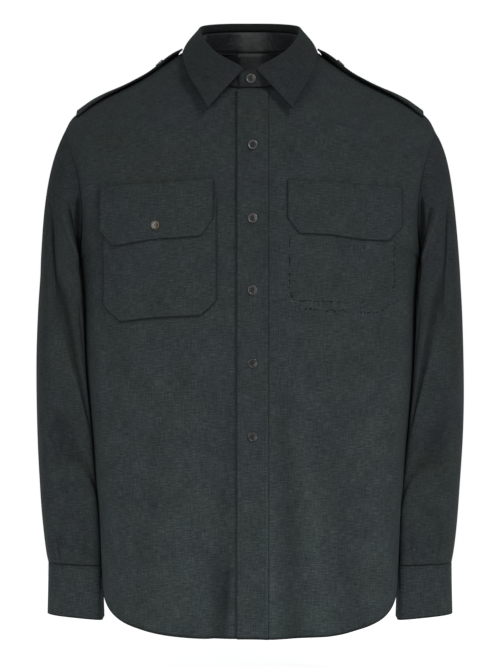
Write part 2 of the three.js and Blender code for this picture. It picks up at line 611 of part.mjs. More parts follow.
// A sewn-through button: a rim round a shallow dish, laid on the cloth and facing out
function button(radius) {
  const rim = radius * 0.78;
  const profile = [
    [0, 0], [radius * 0.86, 0], [radius, BUTTON_THICKNESS * 0.45], [radius * 0.93, BUTTON_THICKNESS],
    [rim, BUTTON_THICKNESS * 0.95], [radius * 0.6, BUTTON_THICKNESS * 0.6], [0, BUTTON_THICKNESS * 0.55],
  ].map(([r, h]) => new THREE.Vector2(r, h));
  return new THREE.LatheGeometry(profile, 14);
}
function addButton(name, radius, place, facing, material) {
  const mesh = add(name, button(radius), material);
  mesh.quaternion.setFromUnitVectors(vec(0, 1, 0), facing.clone().normalize());
  mesh.position.copy(place);
}
function addButtons() {
  const placketOut = CLOTH + LAYER;
  FRONT_BUTTONS_Z.forEach((z, i) => {
    const p = frontPlace(BUTTON_X, z);
    const above = frontPlace(BUTTON_X, z + 6);
    const facing = vec(0, -(above.z - p.z), above.y - p.y).normalize();
    const seat = p.addScaledVector(facing, placketOut + BUTTON_GAP);
    addButton(`button_front_${i + 1}`, BUTTON_RADIUS, seat, facing, horn());
  });
  addButton('button_collar', BUTTON_RADIUS, vec(1.2, -98.4, -32), vec(0, -1, 0.06), horn());
  const onPocket = frontPlace(-114.5, -213.5);
  const facing = vec(-0.24, -1, 0.02).normalize();
  const flapOut = 2 * PATCH_GAP + CLOTH + BAND;
  onPocket.addScaledVector(facing, flapOut + LAYER);
  addButton('button_pocket', POCKET_BUTTON_RADIUS, onPocket, facing, horn(TAN_HORN_COLOUR));
  for (const [name, side] of [['left', 1], ['right', -1]]) {
    const seat = strapPoint(STRAP_BUTTON_X, 0, side);
    const uphill = strapPoint(STRAP_BUTTON_X - 6, 0, side).sub(seat);
    const up = vec(side * uphill.z, -6 * STRAP_TILT, 6).normalize();
    addButton(`button_epaulette_${name}`, BUTTON_RADIUS, seat.addScaledVector(up, STRAP_BUTTON_GAP), up, horn());
    const onCuff = tubePoint(CUFF[1], CUFF_BUTTON_TURN, side);
    const along = tubePoint(CUFF[1], CUFF_BUTTON_TURN + 3, side).sub(onCuff);
    const out = vec(-side * along.y, side * along.x, 0).normalize();
    addButton(`button_cuff_${name}`, BUTTON_RADIUS, onCuff.addScaledVector(out, LAYER), out, horn());
  }
}

addBody();
addSleeves();
addPlacket();
addPockets();
addStand();
addCollarFall();
addCuffs();
addSleevePlackets();
addStraps();
addButtons();
export default shirt;
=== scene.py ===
"""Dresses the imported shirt: fine shells with their creases, sewing, horn buttons, materials and stage.

Lengths in the tables are millimetres; meshes are made in metres. The front faces -Y and the
wearer's left is +X, as in the part.
"""
import json
import math

import bmesh
import bpy
import numpy as np
from bpy.props import FloatProperty, FloatVectorProperty, PointerProperty
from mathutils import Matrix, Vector
from mathutils.bvhtree import BVHTree

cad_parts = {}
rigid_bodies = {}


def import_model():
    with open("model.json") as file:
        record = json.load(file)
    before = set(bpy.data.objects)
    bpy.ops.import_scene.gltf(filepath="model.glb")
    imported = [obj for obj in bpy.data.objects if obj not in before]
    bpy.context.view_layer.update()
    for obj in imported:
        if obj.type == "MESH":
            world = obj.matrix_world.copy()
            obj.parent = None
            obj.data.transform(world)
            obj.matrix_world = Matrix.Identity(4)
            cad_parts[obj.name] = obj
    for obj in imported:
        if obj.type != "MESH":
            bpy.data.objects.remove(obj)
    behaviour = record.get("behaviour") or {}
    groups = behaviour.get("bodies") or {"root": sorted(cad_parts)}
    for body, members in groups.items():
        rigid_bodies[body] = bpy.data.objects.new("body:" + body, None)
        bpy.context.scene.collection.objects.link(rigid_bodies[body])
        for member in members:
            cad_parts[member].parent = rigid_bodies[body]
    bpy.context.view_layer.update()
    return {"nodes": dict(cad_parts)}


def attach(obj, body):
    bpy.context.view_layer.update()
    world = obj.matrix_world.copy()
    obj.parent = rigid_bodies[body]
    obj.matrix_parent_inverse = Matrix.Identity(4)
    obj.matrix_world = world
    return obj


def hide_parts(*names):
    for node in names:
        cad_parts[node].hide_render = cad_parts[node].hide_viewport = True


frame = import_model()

bl_info = {
    "name": "Shirt with shoulder straps",
    "version": (1, 0, 0),
    "blender": (4, 5, 0),
    "location": "View3D > Sidebar > Shirt",
    "description": "Builds the cloth, sewing, buttons and stage of a long-sleeved shirt",
    "category": "Object",
}

MM = 0.001


# Sizes of the shirt, as in the part

CLOTH, BAND, STRAP = 1.2, 1.6, 2.4
SEAM = 0.12
# Steps in a millimetre by which two points count as one
JOIN_STEPS = 250
LAYER = 0.35
PATCH_GAP, SLIT_BAND_GAP = 1.0, 1.2
SIDES = (("left", 1), ("right", -1))
NECK_HALF_WIDTH, NECK_HALF_DEPTH, NECK_CENTRE_Y = 75.0, 84.5, -12.5
UNDERARM_Z, SIDE_HEM_Z = -253.0, -655.0
FRONT_HEM_Z, BACK_HEM_Z = -720.6, -738.0
BODY_ROWS = 14
UNDERARM_POWER, HEM_POWER, LEVEL_POWER = 3.2, 2.7, 1.7
PLACKET_FROM, PLACKET_TO = -15.9, 22.6
UNDER_FRONT_TO, FRONT_INSET = 19.0, 3.0
BUTTON_X = 3.4
INNER_YOKE_SHARE = 0.8
# Raised and sunk lines of the front band: place across it and half width in shares of its width, height
BAND_PUFFS = ((0.07, 0.06, 0.35), (0.94, 0.05, 0.3), (0.15, 0.02, -0.3), (0.86, 0.02, -0.3))
FRONT_BUTTONS_Z = (-115, -205, -293, -382, -472)


def table(names, lines):
    """Columns by name, from a line of numbers for each row."""
    return {name: np.array([line[i] for line in lines], float) for i, name in enumerate(names.split())}


def mix(a, b, t):
    """From a to b by the share t."""
    return a + (b - a) * t


def smooth(t):
    t = np.clip(t, 0, 1)
    return t * t * (3 - 2 * t)


def vec(x, y, z):
    x, y, z = np.broadcast_arrays(x, y, z)
    return np.stack([x, y, z], -1).astype(float)


def unit(v):
    return v / np.maximum(np.linalg.norm(v, axis=-1, keepdims=True), 1e-12)


def at(rows, key, value):
    """A smooth curve through the rows of a table, read at the given values of its key column."""
    keys = rows[key]
    value = np.asarray(value, float)
    sign = np.sign(keys[-1] - keys[0])
    i = np.clip(np.searchsorted(sign * keys, sign * value, side="right") - 1, 0, len(keys) - 2)
    span = keys[i + 1] - keys[i]
    t = np.clip((value - keys[i]) / span, 0, 1)
    before = np.maximum(np.arange(len(keys)) - 1, 0)
    after = np.minimum(np.arange(len(keys)) + 1, len(keys) - 1)
    out = {}
    for name, v in rows.items():
        slope = (v[after] - v[before]) / (keys[after] - keys[before])
        a, b = v[i], v[i + 1]
        m, n = slope[i] * span, slope[i + 1] * span
        out[name] = a + t * (m + t * (3 * (b - a) - 2 * m - n + t * (2 * (a - b) + m + n)))
    return out


NECK_RISE = table("turn z", [
    [0, -44], [15, -43], [30, -38], [50, -25], [70, -6], [90, 9], [112, 13.5], [140, 16], [180, 16.5],
])
SHOULDER = table("x z", [
    [75, 9], [85, 7.5], [92, 3.2], [103, -4.3], [111, -9.5], [122, -16.5], [148, -31.5], [182, -46.5],
    [208, -60.5], [220, -68.5], [228, -77], [235, -91],
])
SIDE = table("z x", [
    [-253, 214], [-300, 210], [-350, 208.6], [-400, 207], [-470, 200], [-520, 196], [-560, 192],
    [-640, 187.2], [-690, 184],
])
DEPTH = {
    "front": table("z y", [
        [-44, -97], [-75, -106], [-115, -114], [-160, -120], [-200, -124], [-250, -125], [-350, -124],
        [-450, -121], [-550, -119], [-721, -118],
    ]),
    "back": table("z y", [
        [16.5, 72], [-20, 91], [-60, 104], [-112, 113], [-160, 118], [-210, 119], [-270, 116],
        [-350, 110], [-430, 106], [-520, 106], [-620, 110], [-738, 113],
    ]),
}
NECK_ROWS = {
    "front": table("neckTurn armTurn full ridge", [
        [90, 0, 1, 1], [72, 16, 1.15, 0.85], [55, 32, 1.3, 0.65], [39, 48, 1.5, 0.45],
        [24, 64, 1.75, 0.28], [10, 80, 2, 0.12],
    ]),
    "back": table("neckTurn armTurn full ridge", [
        [90, 0, 1, 1], [113, 8, 1.15, 0.85], [136, 16, 1.35, 0.65], [158, 24, 1.6, 0.5],
        [180, 32, 1.9, 0.35],
    ]),
}
CHEST_ROWS = {
    "front": table("centreZ armTurn full", [
        [-44.6, 95, 2.25], [-72, 110, 2.5], [-102, 125, 2.75], [-132, 142, 2.95], [-162, 160, 3.1],
        [-192, 180, 3.2],
    ]),
    "back": table("centreZ armTurn full", [
        [-48, 48, 2.1], [-112, 64, 2.3], [-132, 80, 2.5], [-150, 95, 2.65], [-168, 110, 2.8],
        [-186, 125, 2.95], [-203, 142, 3.05], [-220, 160, 3.15], [-238, 180, 3.2],
    ]),
}
YOKE_SEAM_ROW = 6
ARMHOLE = {"tipX": 235, "tipY": 4, "tipZ": -91, "underX": 214, "front": -68, "back": 75, "scoop": 14}
SLEEVE = table("outX outZ inX inZ front back scoop power hug station", [
    [235, -91, 214, -253, 68, 75, 14, 2, 0, 0], [241.2, -103, 216.2, -262, 72, 78, 12, 2.05, 3, 1],
    [248, -123, 216.6, -273, 75, 79, 9, 2.15, 9, 2], [254, -152, 216.4, -287, 77, 80, 6, 2.3, 15, 3],
    [259, -190, 215.6, -305, 78, 80, 3, 2.4, 18, 4], [262.6, -232, 214.2, -328, 78, 79, 1, 2.5, 18, 5],
    [265.6, -280, 212.6, -354, 76, 77, 0, 2.5, 18, 6], [268, -330, 211, -386, 73, 75, 0, 2.5, 18, 7],
    [269.5, -380, 208.6, -420, 70, 72, 0, 2.5, 18, 8], [269.7, -430, 205.6, -455, 66, 68, 0, 2.5, 18, 9],
    [268.6, -480, 202, -492, 61, 63, 0, 2.5, 18, 10], [266.4, -526, 198.6, -530, 56, 58, 0, 2.5, 18, 11],
    [263.7, -568, 195.2, -569, 51, 53, 0, 2.5, 18, 12],
    [259.8, -604, 192, -605, 46, 48, 0, 2.5, 14.5, 13],
    [255, -635, 189.4, -638, 42, 43, 0, 2.5, 10.5, 14],
])
CUFF = table("outX outZ inX inZ front back scoop power hug station", [
    [255, -635, 189.4, -638, 42, 43, 0, 2.5, 10.5, 14], [255.4, -668, 187.4, -672, 40, 41, 0, 2.8, 6, 15],
    [256, -698.5, 185.6, -706, 40, 41, 0, 3, 3, 16],
])
INNER_POWER = 5
# Length of a sleeve station and of a degree of turn, for creases and ripples
STATION, DEGREE = 38, 1.15
SLEEVE_END = 14
COLLAR = table("part rollX rollY rollZ edgeX edgeY edgeZ drop", [
    [0, 8, -95.5, -19.5, 53, -116, -71.5, 1.5], [1, 14, -94.5, -15, 58, -113, -59, 2.5],
    [2, 25.4, -88, -8.5, 66, -104, -45.5, 4.5], [3, 39.9, -76, 1.5, 75.5, -88, -28, 6],
    [4, 50, -62, 12, 81.5, -66, -12, 7.5], [5, 56.5, -47, 21, 84.5, -42, 1.5, 8.5],
    [6, 61.2, -25, 32, 85, -14, 10, 9], [7, 62, 2, 40.5, 83, 17, 12, 9.5],
    [8, 58.5, 28, 46.5, 75.5, 48, 11.5, 10], [9, 45, 50, 50.8, 57, 73, 10, 10],
    [10, 24, 63, 53.2, 30, 86, 8.8, 10], [11, 0, 67, 53.7, 0, 90, 8.4, 10],
])
STRAP_LINE = table("x y z half sag fall", [
    [86, -8.5, 14.4, 4, 0.2, 2.4], [89, -8, 12.7, 12, 0.3, 2.8], [93, -7.4, 10.9, 17, 0.4, 3.6],
    [98, -7, 8.1, 19, 0.4, 4.4], [106, -6.6, 2.6, 20.5, 0.4, 4], [116, -6, -5.8, 21, 0.4, 1.8],
    [130, -4.6, -16, 22, 0.4, 0.2], [148, -3, -25.7, 23, 0.4, 1.2], [166, -1.6, -34, 24, 1.2, 0.9],
    [184, -0.2, -41.6, 25, 3, 0.2], [200, 1.2, -49.7, 26, 5, 0], [212, 2.4, -57.8, 27, 6.8, 0],
    [219, 3, -62.8, 27, 7.6, 0],
])
STRAP_TILT, STRAP_BUTTON_X, STRAP_DIP = 0.09, 113, 2.4
PATCHES = {
    "pocket_right": table("x top bottom", [
        [-181, -196, -309], [-174.5, -195, -319], [-160, -193, -332.5], [-138, -190, -330],
        [-116.5, -188, -327.5], [-95, -186, -326.4], [-78, -184.5, -325.6], [-60.5, -183, -324.8],
        [-50, -182, -316], [-41, -181, -306],
    ]),
    "flap_right": table("x top bottom", [
        [-183.5, -166, -219.9], [-175, -165.5, -228.5], [-165.3, -165, -239], [-142, -163.6, -235],
        [-116.6, -162, -231], [-96, -160.6, -229.7], [-78, -159.4, -228.5], [-60, -158.2, -227.3],
        [-52, -157.8, -216], [-44.7, -157.4, -204],
    ]),
    "flap_left": table("x top bottom", [
        [45.5, -157.1, -203], [53, -157.4, -213.5], [61, -157.8, -224], [79, -159, -224.5],
        [97, -160.5, -225.2], [119, -162.6, -228.4], [141.4, -164.4, -231.4], [169, -165.6, -232.3],
        [178, -165.9, -223.5], [187.5, -166.2, -214],
    ]),
}

# Large upright folds: troughs where depth is above zero, ridges where it is below
FOLDS = {
    "front": table("topX topZ footX footZ width depth", [
        [-88, -370, -128, -730, 26, 3.5], [-60, -480, -66, -730, 24, -3], [-32, -590, -42, -735, 9, 7],
        [34, -300, 26, -730, 18, -3], [52, -260, 74, -735, 20, 5.5], [98, -330, 108, -735, 22, -3],
        [128, -300, 134, -730, 24, 3],
    ]),
    "back": table("topX topZ footX footZ width depth", [
        [-60, -150, -84, -745, 24, 4.5], [-14, -300, -6, -745, 26, -3], [48, -170, 70, -745, 22, 5],
        [118, -350, 126, -740, 24, 3],
    ]),
}
SLEEVE_FOLDS = table("fromStation fromTurn toStation toTurn width depth", [
    [3.2, 52, 9.6, 118, 13, 6], [8.8, 46, 12, 112, 12, 4.5], [2.2, 118, 5, 150, 12, 5],
    [4.5, -60, 10, -112, 13, 5],
])

# Finer creases: both ends, the half width at each end, the depth, and how slowly each end fades
CREASE = "x0 z0 x1 z1 wide0 wide1 depth fade0 fade1"
BODY_CREASES = {
    "front": table(CREASE, [
        [-72, -642, -28, -643, 1.6, 1.6, 0.7, 0.3, 0.2], [-28, -632, -38, -722, 4, 6, 4.5, 0.12, 0.1],
        [112, -176, 113, -330, 5, 8, 0.7, 0.3, 0.6], [141, -168, 143, -300, 6, 8, 0.8, 0.3, 0.6],
        [196, -232, 150, -330, 9, 14, 1.6, 0.2, 0.5], [-194, -236, -152, -345, 9, 14, 1.6, 0.2, 0.5],
        [190, -300, 128, -420, 10, 16, 1.3, 0.3, 0.5], [-188, -330, -118, -450, 10, 15, 1.2, 0.3, 0.5],
        [60, -84, 96, -128, 8, 12, 0.7, 0.4, 0.5], [-58, -86, -98, -124, 8, 12, 0.7, 0.4, 0.5],
        [38, -380, 57, -728, 8, 11, 3.2, 0.3, 0.05], [18, -420, 26, -728, 8, 9, -3.6, 0.4, 0.05],
        [58, -370, 90, -728, 9, 13, -2.6, 0.4, 0.05], [90, -380, 133, -728, 12, 12, 1.8, 0.4, 0.05],
        [150, -360, 166, -728, 14, 14, -1.6, 0.4, 0.05], [-112, -440, -142, -728, 12, 14, 1.8, 0.4, 0.05],
        [-70, -440, -104, -728, 16, 18, -1.2, 0.4, 0.05], [-22, -360, -36, -700, 8, 9, 2.4, 0.4, 0.1],
        [-82, -330, -88, -480, 12, 12, 1.4, 0.4, 0.4], [-116, -330, -116, -470, 12, 12, -1.2, 0.4, 0.4],
        [-206, -262, -182, -700, 20, 14, -2.4, 0.1, 0.1], [206, -262, 182, -700, 20, 14, -2.4, 0.1, 0.1],
    ]),
    "back": table(CREASE, [
        [-198, -245, -120, -345, 8, 15, 2.2, 0.2, 0.5], [198, -240, 112, -330, 8, 15, 2.4, 0.2, 0.5],
        [-190, -300, -96, -430, 10, 16, 1.6, 0.3, 0.5], [188, -320, 84, -460, 9, 16, 1.7, 0.3, 0.5],
        [-150, -150, -100, -128, 7, 9, 0.9, 0.4, 0.5], [142, -148, 104, -130, 7, 9, 0.8, 0.4, 0.5],
        [-30, -420, 44, -470, 9, 12, 1.1, 0.4, 0.4], [-150, -520, -158, -700, 10, 15, 1.8, 0.4, 0.3],
        [156, -500, 164, -690, 10, 15, 1.7, 0.4, 0.3],
    ]),
}
SLEEVE_CREASE = "station0 turn0 station1 turn1 wide0 wide1 depth fade0 fade1"
SLEEVE_CREASES = {
    -1: table(SLEEVE_CREASE, [
        [3.2, 44, 5.4, 92, 5, 7, 6, 0.5, 0.2], [5.0, 86, 7.5, 108, 6, 7, 7, 0.2, 0.16],
        [7.15, 105.2, 9.5, 142, 7, 6, 6.5, 0.16, 0.3], [6.2, 84, 8.8, 112, 12, 12, -2.2, 0.4, 0.4],
        [1.1, 92, 0.8, 150, 32, 12, 9, 0.06, 0.5], [2.1, 80, 1.2, 150, 5, 4, 6, 0.2, 0.4],
        [2.9, 70, 2.2, 128, 11, 9, -4, 0.3, 0.4], [8.8, 84, 10.6, 97, 10, 10, 4.6, 0.4, 0.2],
        [10.2, 93, 11.6, 160, 8, 7, 4.5, 0.2, 0.3], [9.2, 66, 11.2, 90, 11, 11, 1.4, 0.4, 0.4],
        [4.6, 116, 7.2, 140, 6, 6, 2.6, 0.4, 0.4], [11.8, 100, 13.4, 60, 6, 8, 2.0, 0.3, 0.4],
        [4.5, 168, 13.6, 168, 22, 20, -2.2, 0.25, 0.1], [12.6, 62, 14, 70, 5, 3, 2.0, 0.5, 0.1],
        [12.4, 104, 14, 96, 5, 3, 1.9, 0.5, 0.1], [1.4, -96, 4.2, -140, 10, 4, 6.5, 0.15, 0.6],
        [6.0, -70, 9.4, -130, 7, 8, 3.8, 0.3, 0.4], [8.6, -30, 10.8, -92, 6, 8, 3.4, 0.3, 0.3],
        [10.2, -120, 12.2, -58, 6, 7, 2.7, 0.3, 0.4], [12.6, -50, 14, -56, 5, 3, 2.2, 0.5, 0.1],
        [5.4, 22, 7.6, -20, 8, 8, 1.4, 0.4, 0.4],
    ]),
    1: table(SLEEVE_CREASE, [
        [3.0, 42, 5.2, 90, 5, 7, 5.6, 0.5, 0.2], [4.8, 84, 7.6, 110, 6, 7, 6.6, 0.2, 0.16],
        [7.2, 106.5, 9.7, 144, 7, 6, 6.8, 0.16, 0.3], [6.0, 82, 9.0, 114, 12, 12, -2.2, 0.4, 0.4],
        [1.1, 93, 0.8, 150, 32, 12, 9, 0.06, 0.5], [2.1, 82, 1.3, 150, 5, 4, 6, 0.2, 0.4],
        [2.9, 70, 2.2, 130, 11, 9, -4, 0.3, 0.4], [9.0, 82, 10.8, 99, 10, 10, 4.6, 0.4, 0.2],
        [10.4, 95, 11.8, 158, 8, 7, 4.2, 0.2, 0.3], [9.4, 64, 11.0, 88, 11, 11, 1.3, 0.4, 0.4],
        [4.8, 118, 7.4, 141, 6, 6, 2.4, 0.4, 0.4], [11.6, 98, 13.2, 64, 6, 8, 1.8, 0.3, 0.4],
        [4.5, 168, 13.6, 168, 22, 20, -2.2, 0.25, 0.1], [12.5, 70, 14, 74, 5, 3, 2.0, 0.5, 0.1],
        [12.7, 110, 14, 100, 5, 3, 1.8, 0.5, 0.1], [1.5, -100, 4.6, -138, 10, 4, 6.2, 0.15, 0.6],
        [5.6, -66, 9.8, -126, 7, 8, 4.0, 0.3, 0.4], [9.0, -36, 11.0, -96, 6, 8, 3.2, 0.3, 0.3],
        [10.6, -118, 12.4, -60, 6, 7, 2.6, 0.3, 0.4], [12.4, -44, 14, -52, 5, 3, 2.2, 0.5, 0.1],
        [5.8, 18, 8.2, -22, 8, 8, 1.4, 0.4, 0.4],
    ]),
}


# Form of the shirt

def neck_point(turn):
    """A point of the neck seam; turn 0 is the front and 180 the back."""
    a = np.radians(turn)
    return vec(NECK_HALF_WIDTH * np.sin(a), NECK_CENTRE_Y - NECK_HALF_DEPTH * np.cos(a),
               at(NECK_RISE, "turn", np.abs(turn))["z"])


def armhole_point(turn, face):
    """A point of the armhole seam; turn 0 is the shoulder and 180 the underarm."""
    down, round_ = (1 - np.cos(np.radians(turn))) / 2, np.sin(np.radians(turn))
    return vec(mix(ARMHOLE["tipX"], ARMHOLE["underX"], down) - ARMHOLE["scoop"] * round_ ** 2,
               mix(ARMHOLE["tipY"], 0, down) + ARMHOLE[face] * round_,
               mix(ARMHOLE["tipZ"], UNDERARM_Z, down))


def body_rows(face):
    """One line for each row of a face of the body, numbered by row, with its start at the centre."""
    neck, chest = NECK_ROWS[face], CHEST_ROWS[face]
    hem = FRONT_HEM_Z if face == "front" else BACK_HEM_Z
    n, m = len(neck["armTurn"]), len(chest["armTurn"])
    total = n + m + BODY_ROWS
    down = np.clip((np.arange(total) - (n + m - 1)) / BODY_ROWS, 0, 1)
    centre_z = np.concatenate([np.zeros(n), chest["centreZ"], mix(chest["centreZ"][-1], hem, down[n + m:])])
    inner = vec(0, at(DEPTH[face], "z", centre_z)["y"], centre_z)
    inner[:n] = neck_point(neck["neckTurn"])
    fill = np.ones(BODY_ROWS)
    return {
        "row": np.arange(total, dtype=float),
        "inX": inner[:, 0], "inY": inner[:, 1], "inZ": inner[:, 2],
        "armTurn": np.concatenate([neck["armTurn"], chest["armTurn"], 180 * fill]),
        "sideZ": mix(UNDERARM_Z, SIDE_HEM_Z, down),
        "full": np.concatenate([neck["full"], chest["full"], mix(UNDERARM_POWER, HEM_POWER, down[n + m:])]),
        "ridge": np.concatenate([neck["ridge"], np.zeros(m + BODY_ROWS)]),
        "tail": smooth(down),
    }


ROWS = {face: body_rows(face) for face in ("front", "back")}
LAST_ROW = {face: len(ROWS[face]["row"]) - 1 for face in ROWS}
UNDERARM_ROW = {face: len(NECK_ROWS[face]["full"]) + len(CHEST_ROWS[face]["full"]) - 1 for face in ROWS}
NECK_END = {face: len(NECK_ROWS[face]["full"]) for face in ROWS}


def fold_depth(folds, x, z):
    """Depth of the large upright folds at each place."""
    total = np.zeros(np.broadcast(x, z).shape)
    for topX, topZ, footX, footZ, width, depth in zip(*folds.values()):
        down = (topZ - z) / (topZ - footZ)
        across = (x - mix(topX, footX, down)) / width
        total += np.where(down > 0, depth * smooth(np.minimum(down * 2, 1)) * np.exp(-across ** 2), 0)
    return total


def crease_depth(creases, a, b):
    """Depth of a table of creases at each place (a, b)."""
    total = np.zeros(np.broadcast(a, b).shape)
    for a0, b0, a1, b1, wide0, wide1, depth, fade0, fade1 in zip(*creases.values()):
        da, db = a1 - a0, b1 - b0
        length = math.hypot(da, db)
        t = ((a - a0) * da + (b - b0) * db) / length ** 2
        off = ((a - a0) * db - (b - b0) * da) / length
        width = mix(wide0, wide1, np.clip(t, 0, 1))
        ends = smooth((t + 0.02) / fade0) * smooth((1.02 - t) / fade1)
        total += depth * ends * np.exp(-(off / width) ** 2)
    return total


def neck_turn(face, v):
    """Where row v of a face meets the neck seam, and whether it does: lower rows start at the centre."""
    turns = NECK_ROWS[face]["neckTurn"]
    turns = turns if face == "back" else np.append(turns, 0)
    return np.interp(v, np.arange(len(turns)), turns), np.asarray(v) <= len(turns) - 1


def body_row(face, v):
    """The line of the rows' table at row number v, with its outer end on armhole or side seam."""
    row = at(ROWS[face], "row", v)
    turn, beside = neck_turn(face, v)
    for name, value in zip(("inX", "inY", "inZ"), np.moveaxis(neck_point(turn), -1, 0)):
        row[name] = np.where(beside, value, row[name])
    under = UNDERARM_ROW[face]
    outer = np.where((np.asarray(v) <= under)[..., None],
                     armhole_point(np.minimum(row["armTurn"], 180), face),
                     vec(at(SIDE, "z", row["sideZ"])["x"], 0, row["sideZ"]))
    row["inX"] = np.where(beside, np.maximum(row["inX"], 0), 0)
    row["ridge"] = np.clip(row["ridge"], 0, 1)
    row["outer"] = outer
    return row


def body_base(face, v, x):
    """A point of the body at distance x from the centre line, on row number v."""
    row = body_row(face, v)
    outX, outY, outZ = np.moveaxis(row["outer"], -1, 0)
    f = np.clip(np.abs(x) / outX, 0, 1)
    full = row["full"]

    def bow(s):
        return (1 - s ** full) ** (1 / full)

    y = outY + (row["inY"] - outY) * bow(f) / bow(row["inX"] / outX)
    share = np.clip((np.abs(x) - row["inX"]) / (outX - row["inX"]), 0, 1)
    turned = (np.arcsin(f) / (np.pi / 2)) ** 3
    level = share ** mix(LEVEL_POWER, 1, row["ridge"])
    z = mix(row["inZ"], outZ, mix(level, turned, row["tail"]))
    straight = mix(SHOULDER["z"][0], ARMHOLE["tipZ"], share)
    along = mix(NECK_HALF_WIDTH, ARMHOLE["tipX"], share)
    z = z + row["ridge"] * (at(SHOULDER, "x", along)["z"] - straight)
    sign = 1 if face == "front" else -1
    return vec(x, y + sign * fold_depth(FOLDS[face], x, z) * bow(f), z)


def cloth_ripple(a, b, c):
    """A slow unevenness of the cloth, so that no panel is quite true."""
    return (0.45 * np.sin(a / 31 + 1.3 * np.sin(b / 57)) * np.sin(b / 83 + 0.7 + c)
            + 0.3 * np.sin((a + b) / 47 + c * 2.1) + 0.22 * np.sin((a - 1.4 * b) / 23 + c))


def body_point(face, v, x):
    """The body with its finer creases, which push each point straight in or out."""
    base = body_base(face, v, x)
    z = base[..., 2]
    row = body_row(face, v)
    outX = row["outer"][..., 0]
    inside = smooth((1 - np.abs(x) / outX) * 9) * smooth(v / 1.5)
    by_neck = smooth((np.abs(x) - row["inX"]) / 30)
    inside = inside * mix(by_neck, 1, smooth((v - NECK_END[face] + 1) / 2.5))
    push = crease_depth(BODY_CREASES[face], x, z) + cloth_ripple(x, z, 0 if face == "front" else 2)
    flat = unit(vec(0.9 * x / outX, -1 if face == "front" else 1, 0))
    return base - flat * (push * inside)[..., None]


def body_folds(face, grid):
    """Depth of the finer creases at each point of a grid."""
    return crease_depth(BODY_CREASES[face], grid[..., 0], grid[..., 2])


def sleeve_folds(station, turn, side):
    """Depth of a sleeve's finer creases, measured in lengths along and round the sleeve."""
    c = SLEEVE_CREASES[side]
    ends = [c["station0"] * STATION, c["turn0"] * DEGREE, c["station1"] * STATION, c["turn1"] * DEGREE]
    return crease_depth(dict(zip(c, ends + list(c.values())[4:])), station * STATION, turn * DEGREE)


def tube_point(row, turn, side):
    """A point of a sleeve or cuff; row is its ring, turn 90 is the front and 0 the outer line."""
    cos, sin = np.cos(np.radians(turn)), np.sin(np.radians(turn))
    inner = np.where(cos < -1e-9, smooth(row["station"] / 4), 0)
    bend = 2 / mix(row["power"], INNER_POWER, inner)
    across, deep = np.abs(cos) ** bend, np.abs(sin) ** bend
    down = (1 - np.sign(cos) * across) / 2
    station = row["station"]
    dent = np.zeros(np.broadcast(station, turn).shape)
    for s0, t0, s1, t1, width, depth in zip(*SLEEVE_FOLDS.values()):
        along = (station - s0) / (s1 - s0)
        ends = smooth(along * 4) * smooth((1 - along) * 4)
        dent += depth * ends * np.exp(-((turn - mix(t0, t1, along)) / width) ** 2)
    hug = inner * row["hug"] * deep ** 3 * across ** 2
    x = mix(row["outX"], row["inX"], down) - row["scoop"] * sin ** 2 - dent * cos - hug
    depth = np.where(sin > 0, -row["front"], row["back"]) * deep + np.sign(sin) * dent * sin ** 2
    y = mix(mix(ARMHOLE["tipY"], 0, np.clip(station / 4, 0, 1)), 0, down) + depth
    p = vec(side * x, y, mix(row["outZ"], row["inZ"], down))
    push = sleeve_folds(station, turn, side) + cloth_ripple(station * STATION, turn * DEGREE, 1 + side)
    ends = smooth(station / 0.6) * smooth((SLEEVE_END - station) / 0.35)
    out = unit(vec(side * cos, -sin, 0))
    return p - out * (push * ends)[..., None]


# Cloth walls

def quads_of(grid, core):
    """The faces of a grid, turned away from its core."""
    index = np.arange(grid.shape[0] * grid.shape[1]).reshape(grid.shape[:2])
    quads = np.stack([index[:-1, :-1], index[:-1, 1:], index[1:, 1:], index[1:, :-1]], -1).reshape(-1, 4)
    p = grid.reshape(-1, 3)[quads]
    middle = p.mean(1)
    outwards = np.sum(face_normals(p) * (middle - core(middle))) >= 0
    return quads if outwards else quads[:, ::-1]


def face_normals(p):
    """The way each face looks, from its four corners, as long as twice its area."""
    return np.cross(p[:, 2] - p[:, 0], p[:, 3] - p[:, 1])


def border(quads, count):
    """The edges that only one face uses, as start and end points, and the face of each."""
    a, b = quads.reshape(-1), np.roll(quads, -1, axis=1).reshape(-1)
    real = a != b
    a, b = a[real], b[real]
    single = ~np.isin(a * count + b, b * count + a)
    return a[single], b[single], np.repeat(np.arange(len(quads)), 4)[real][single]


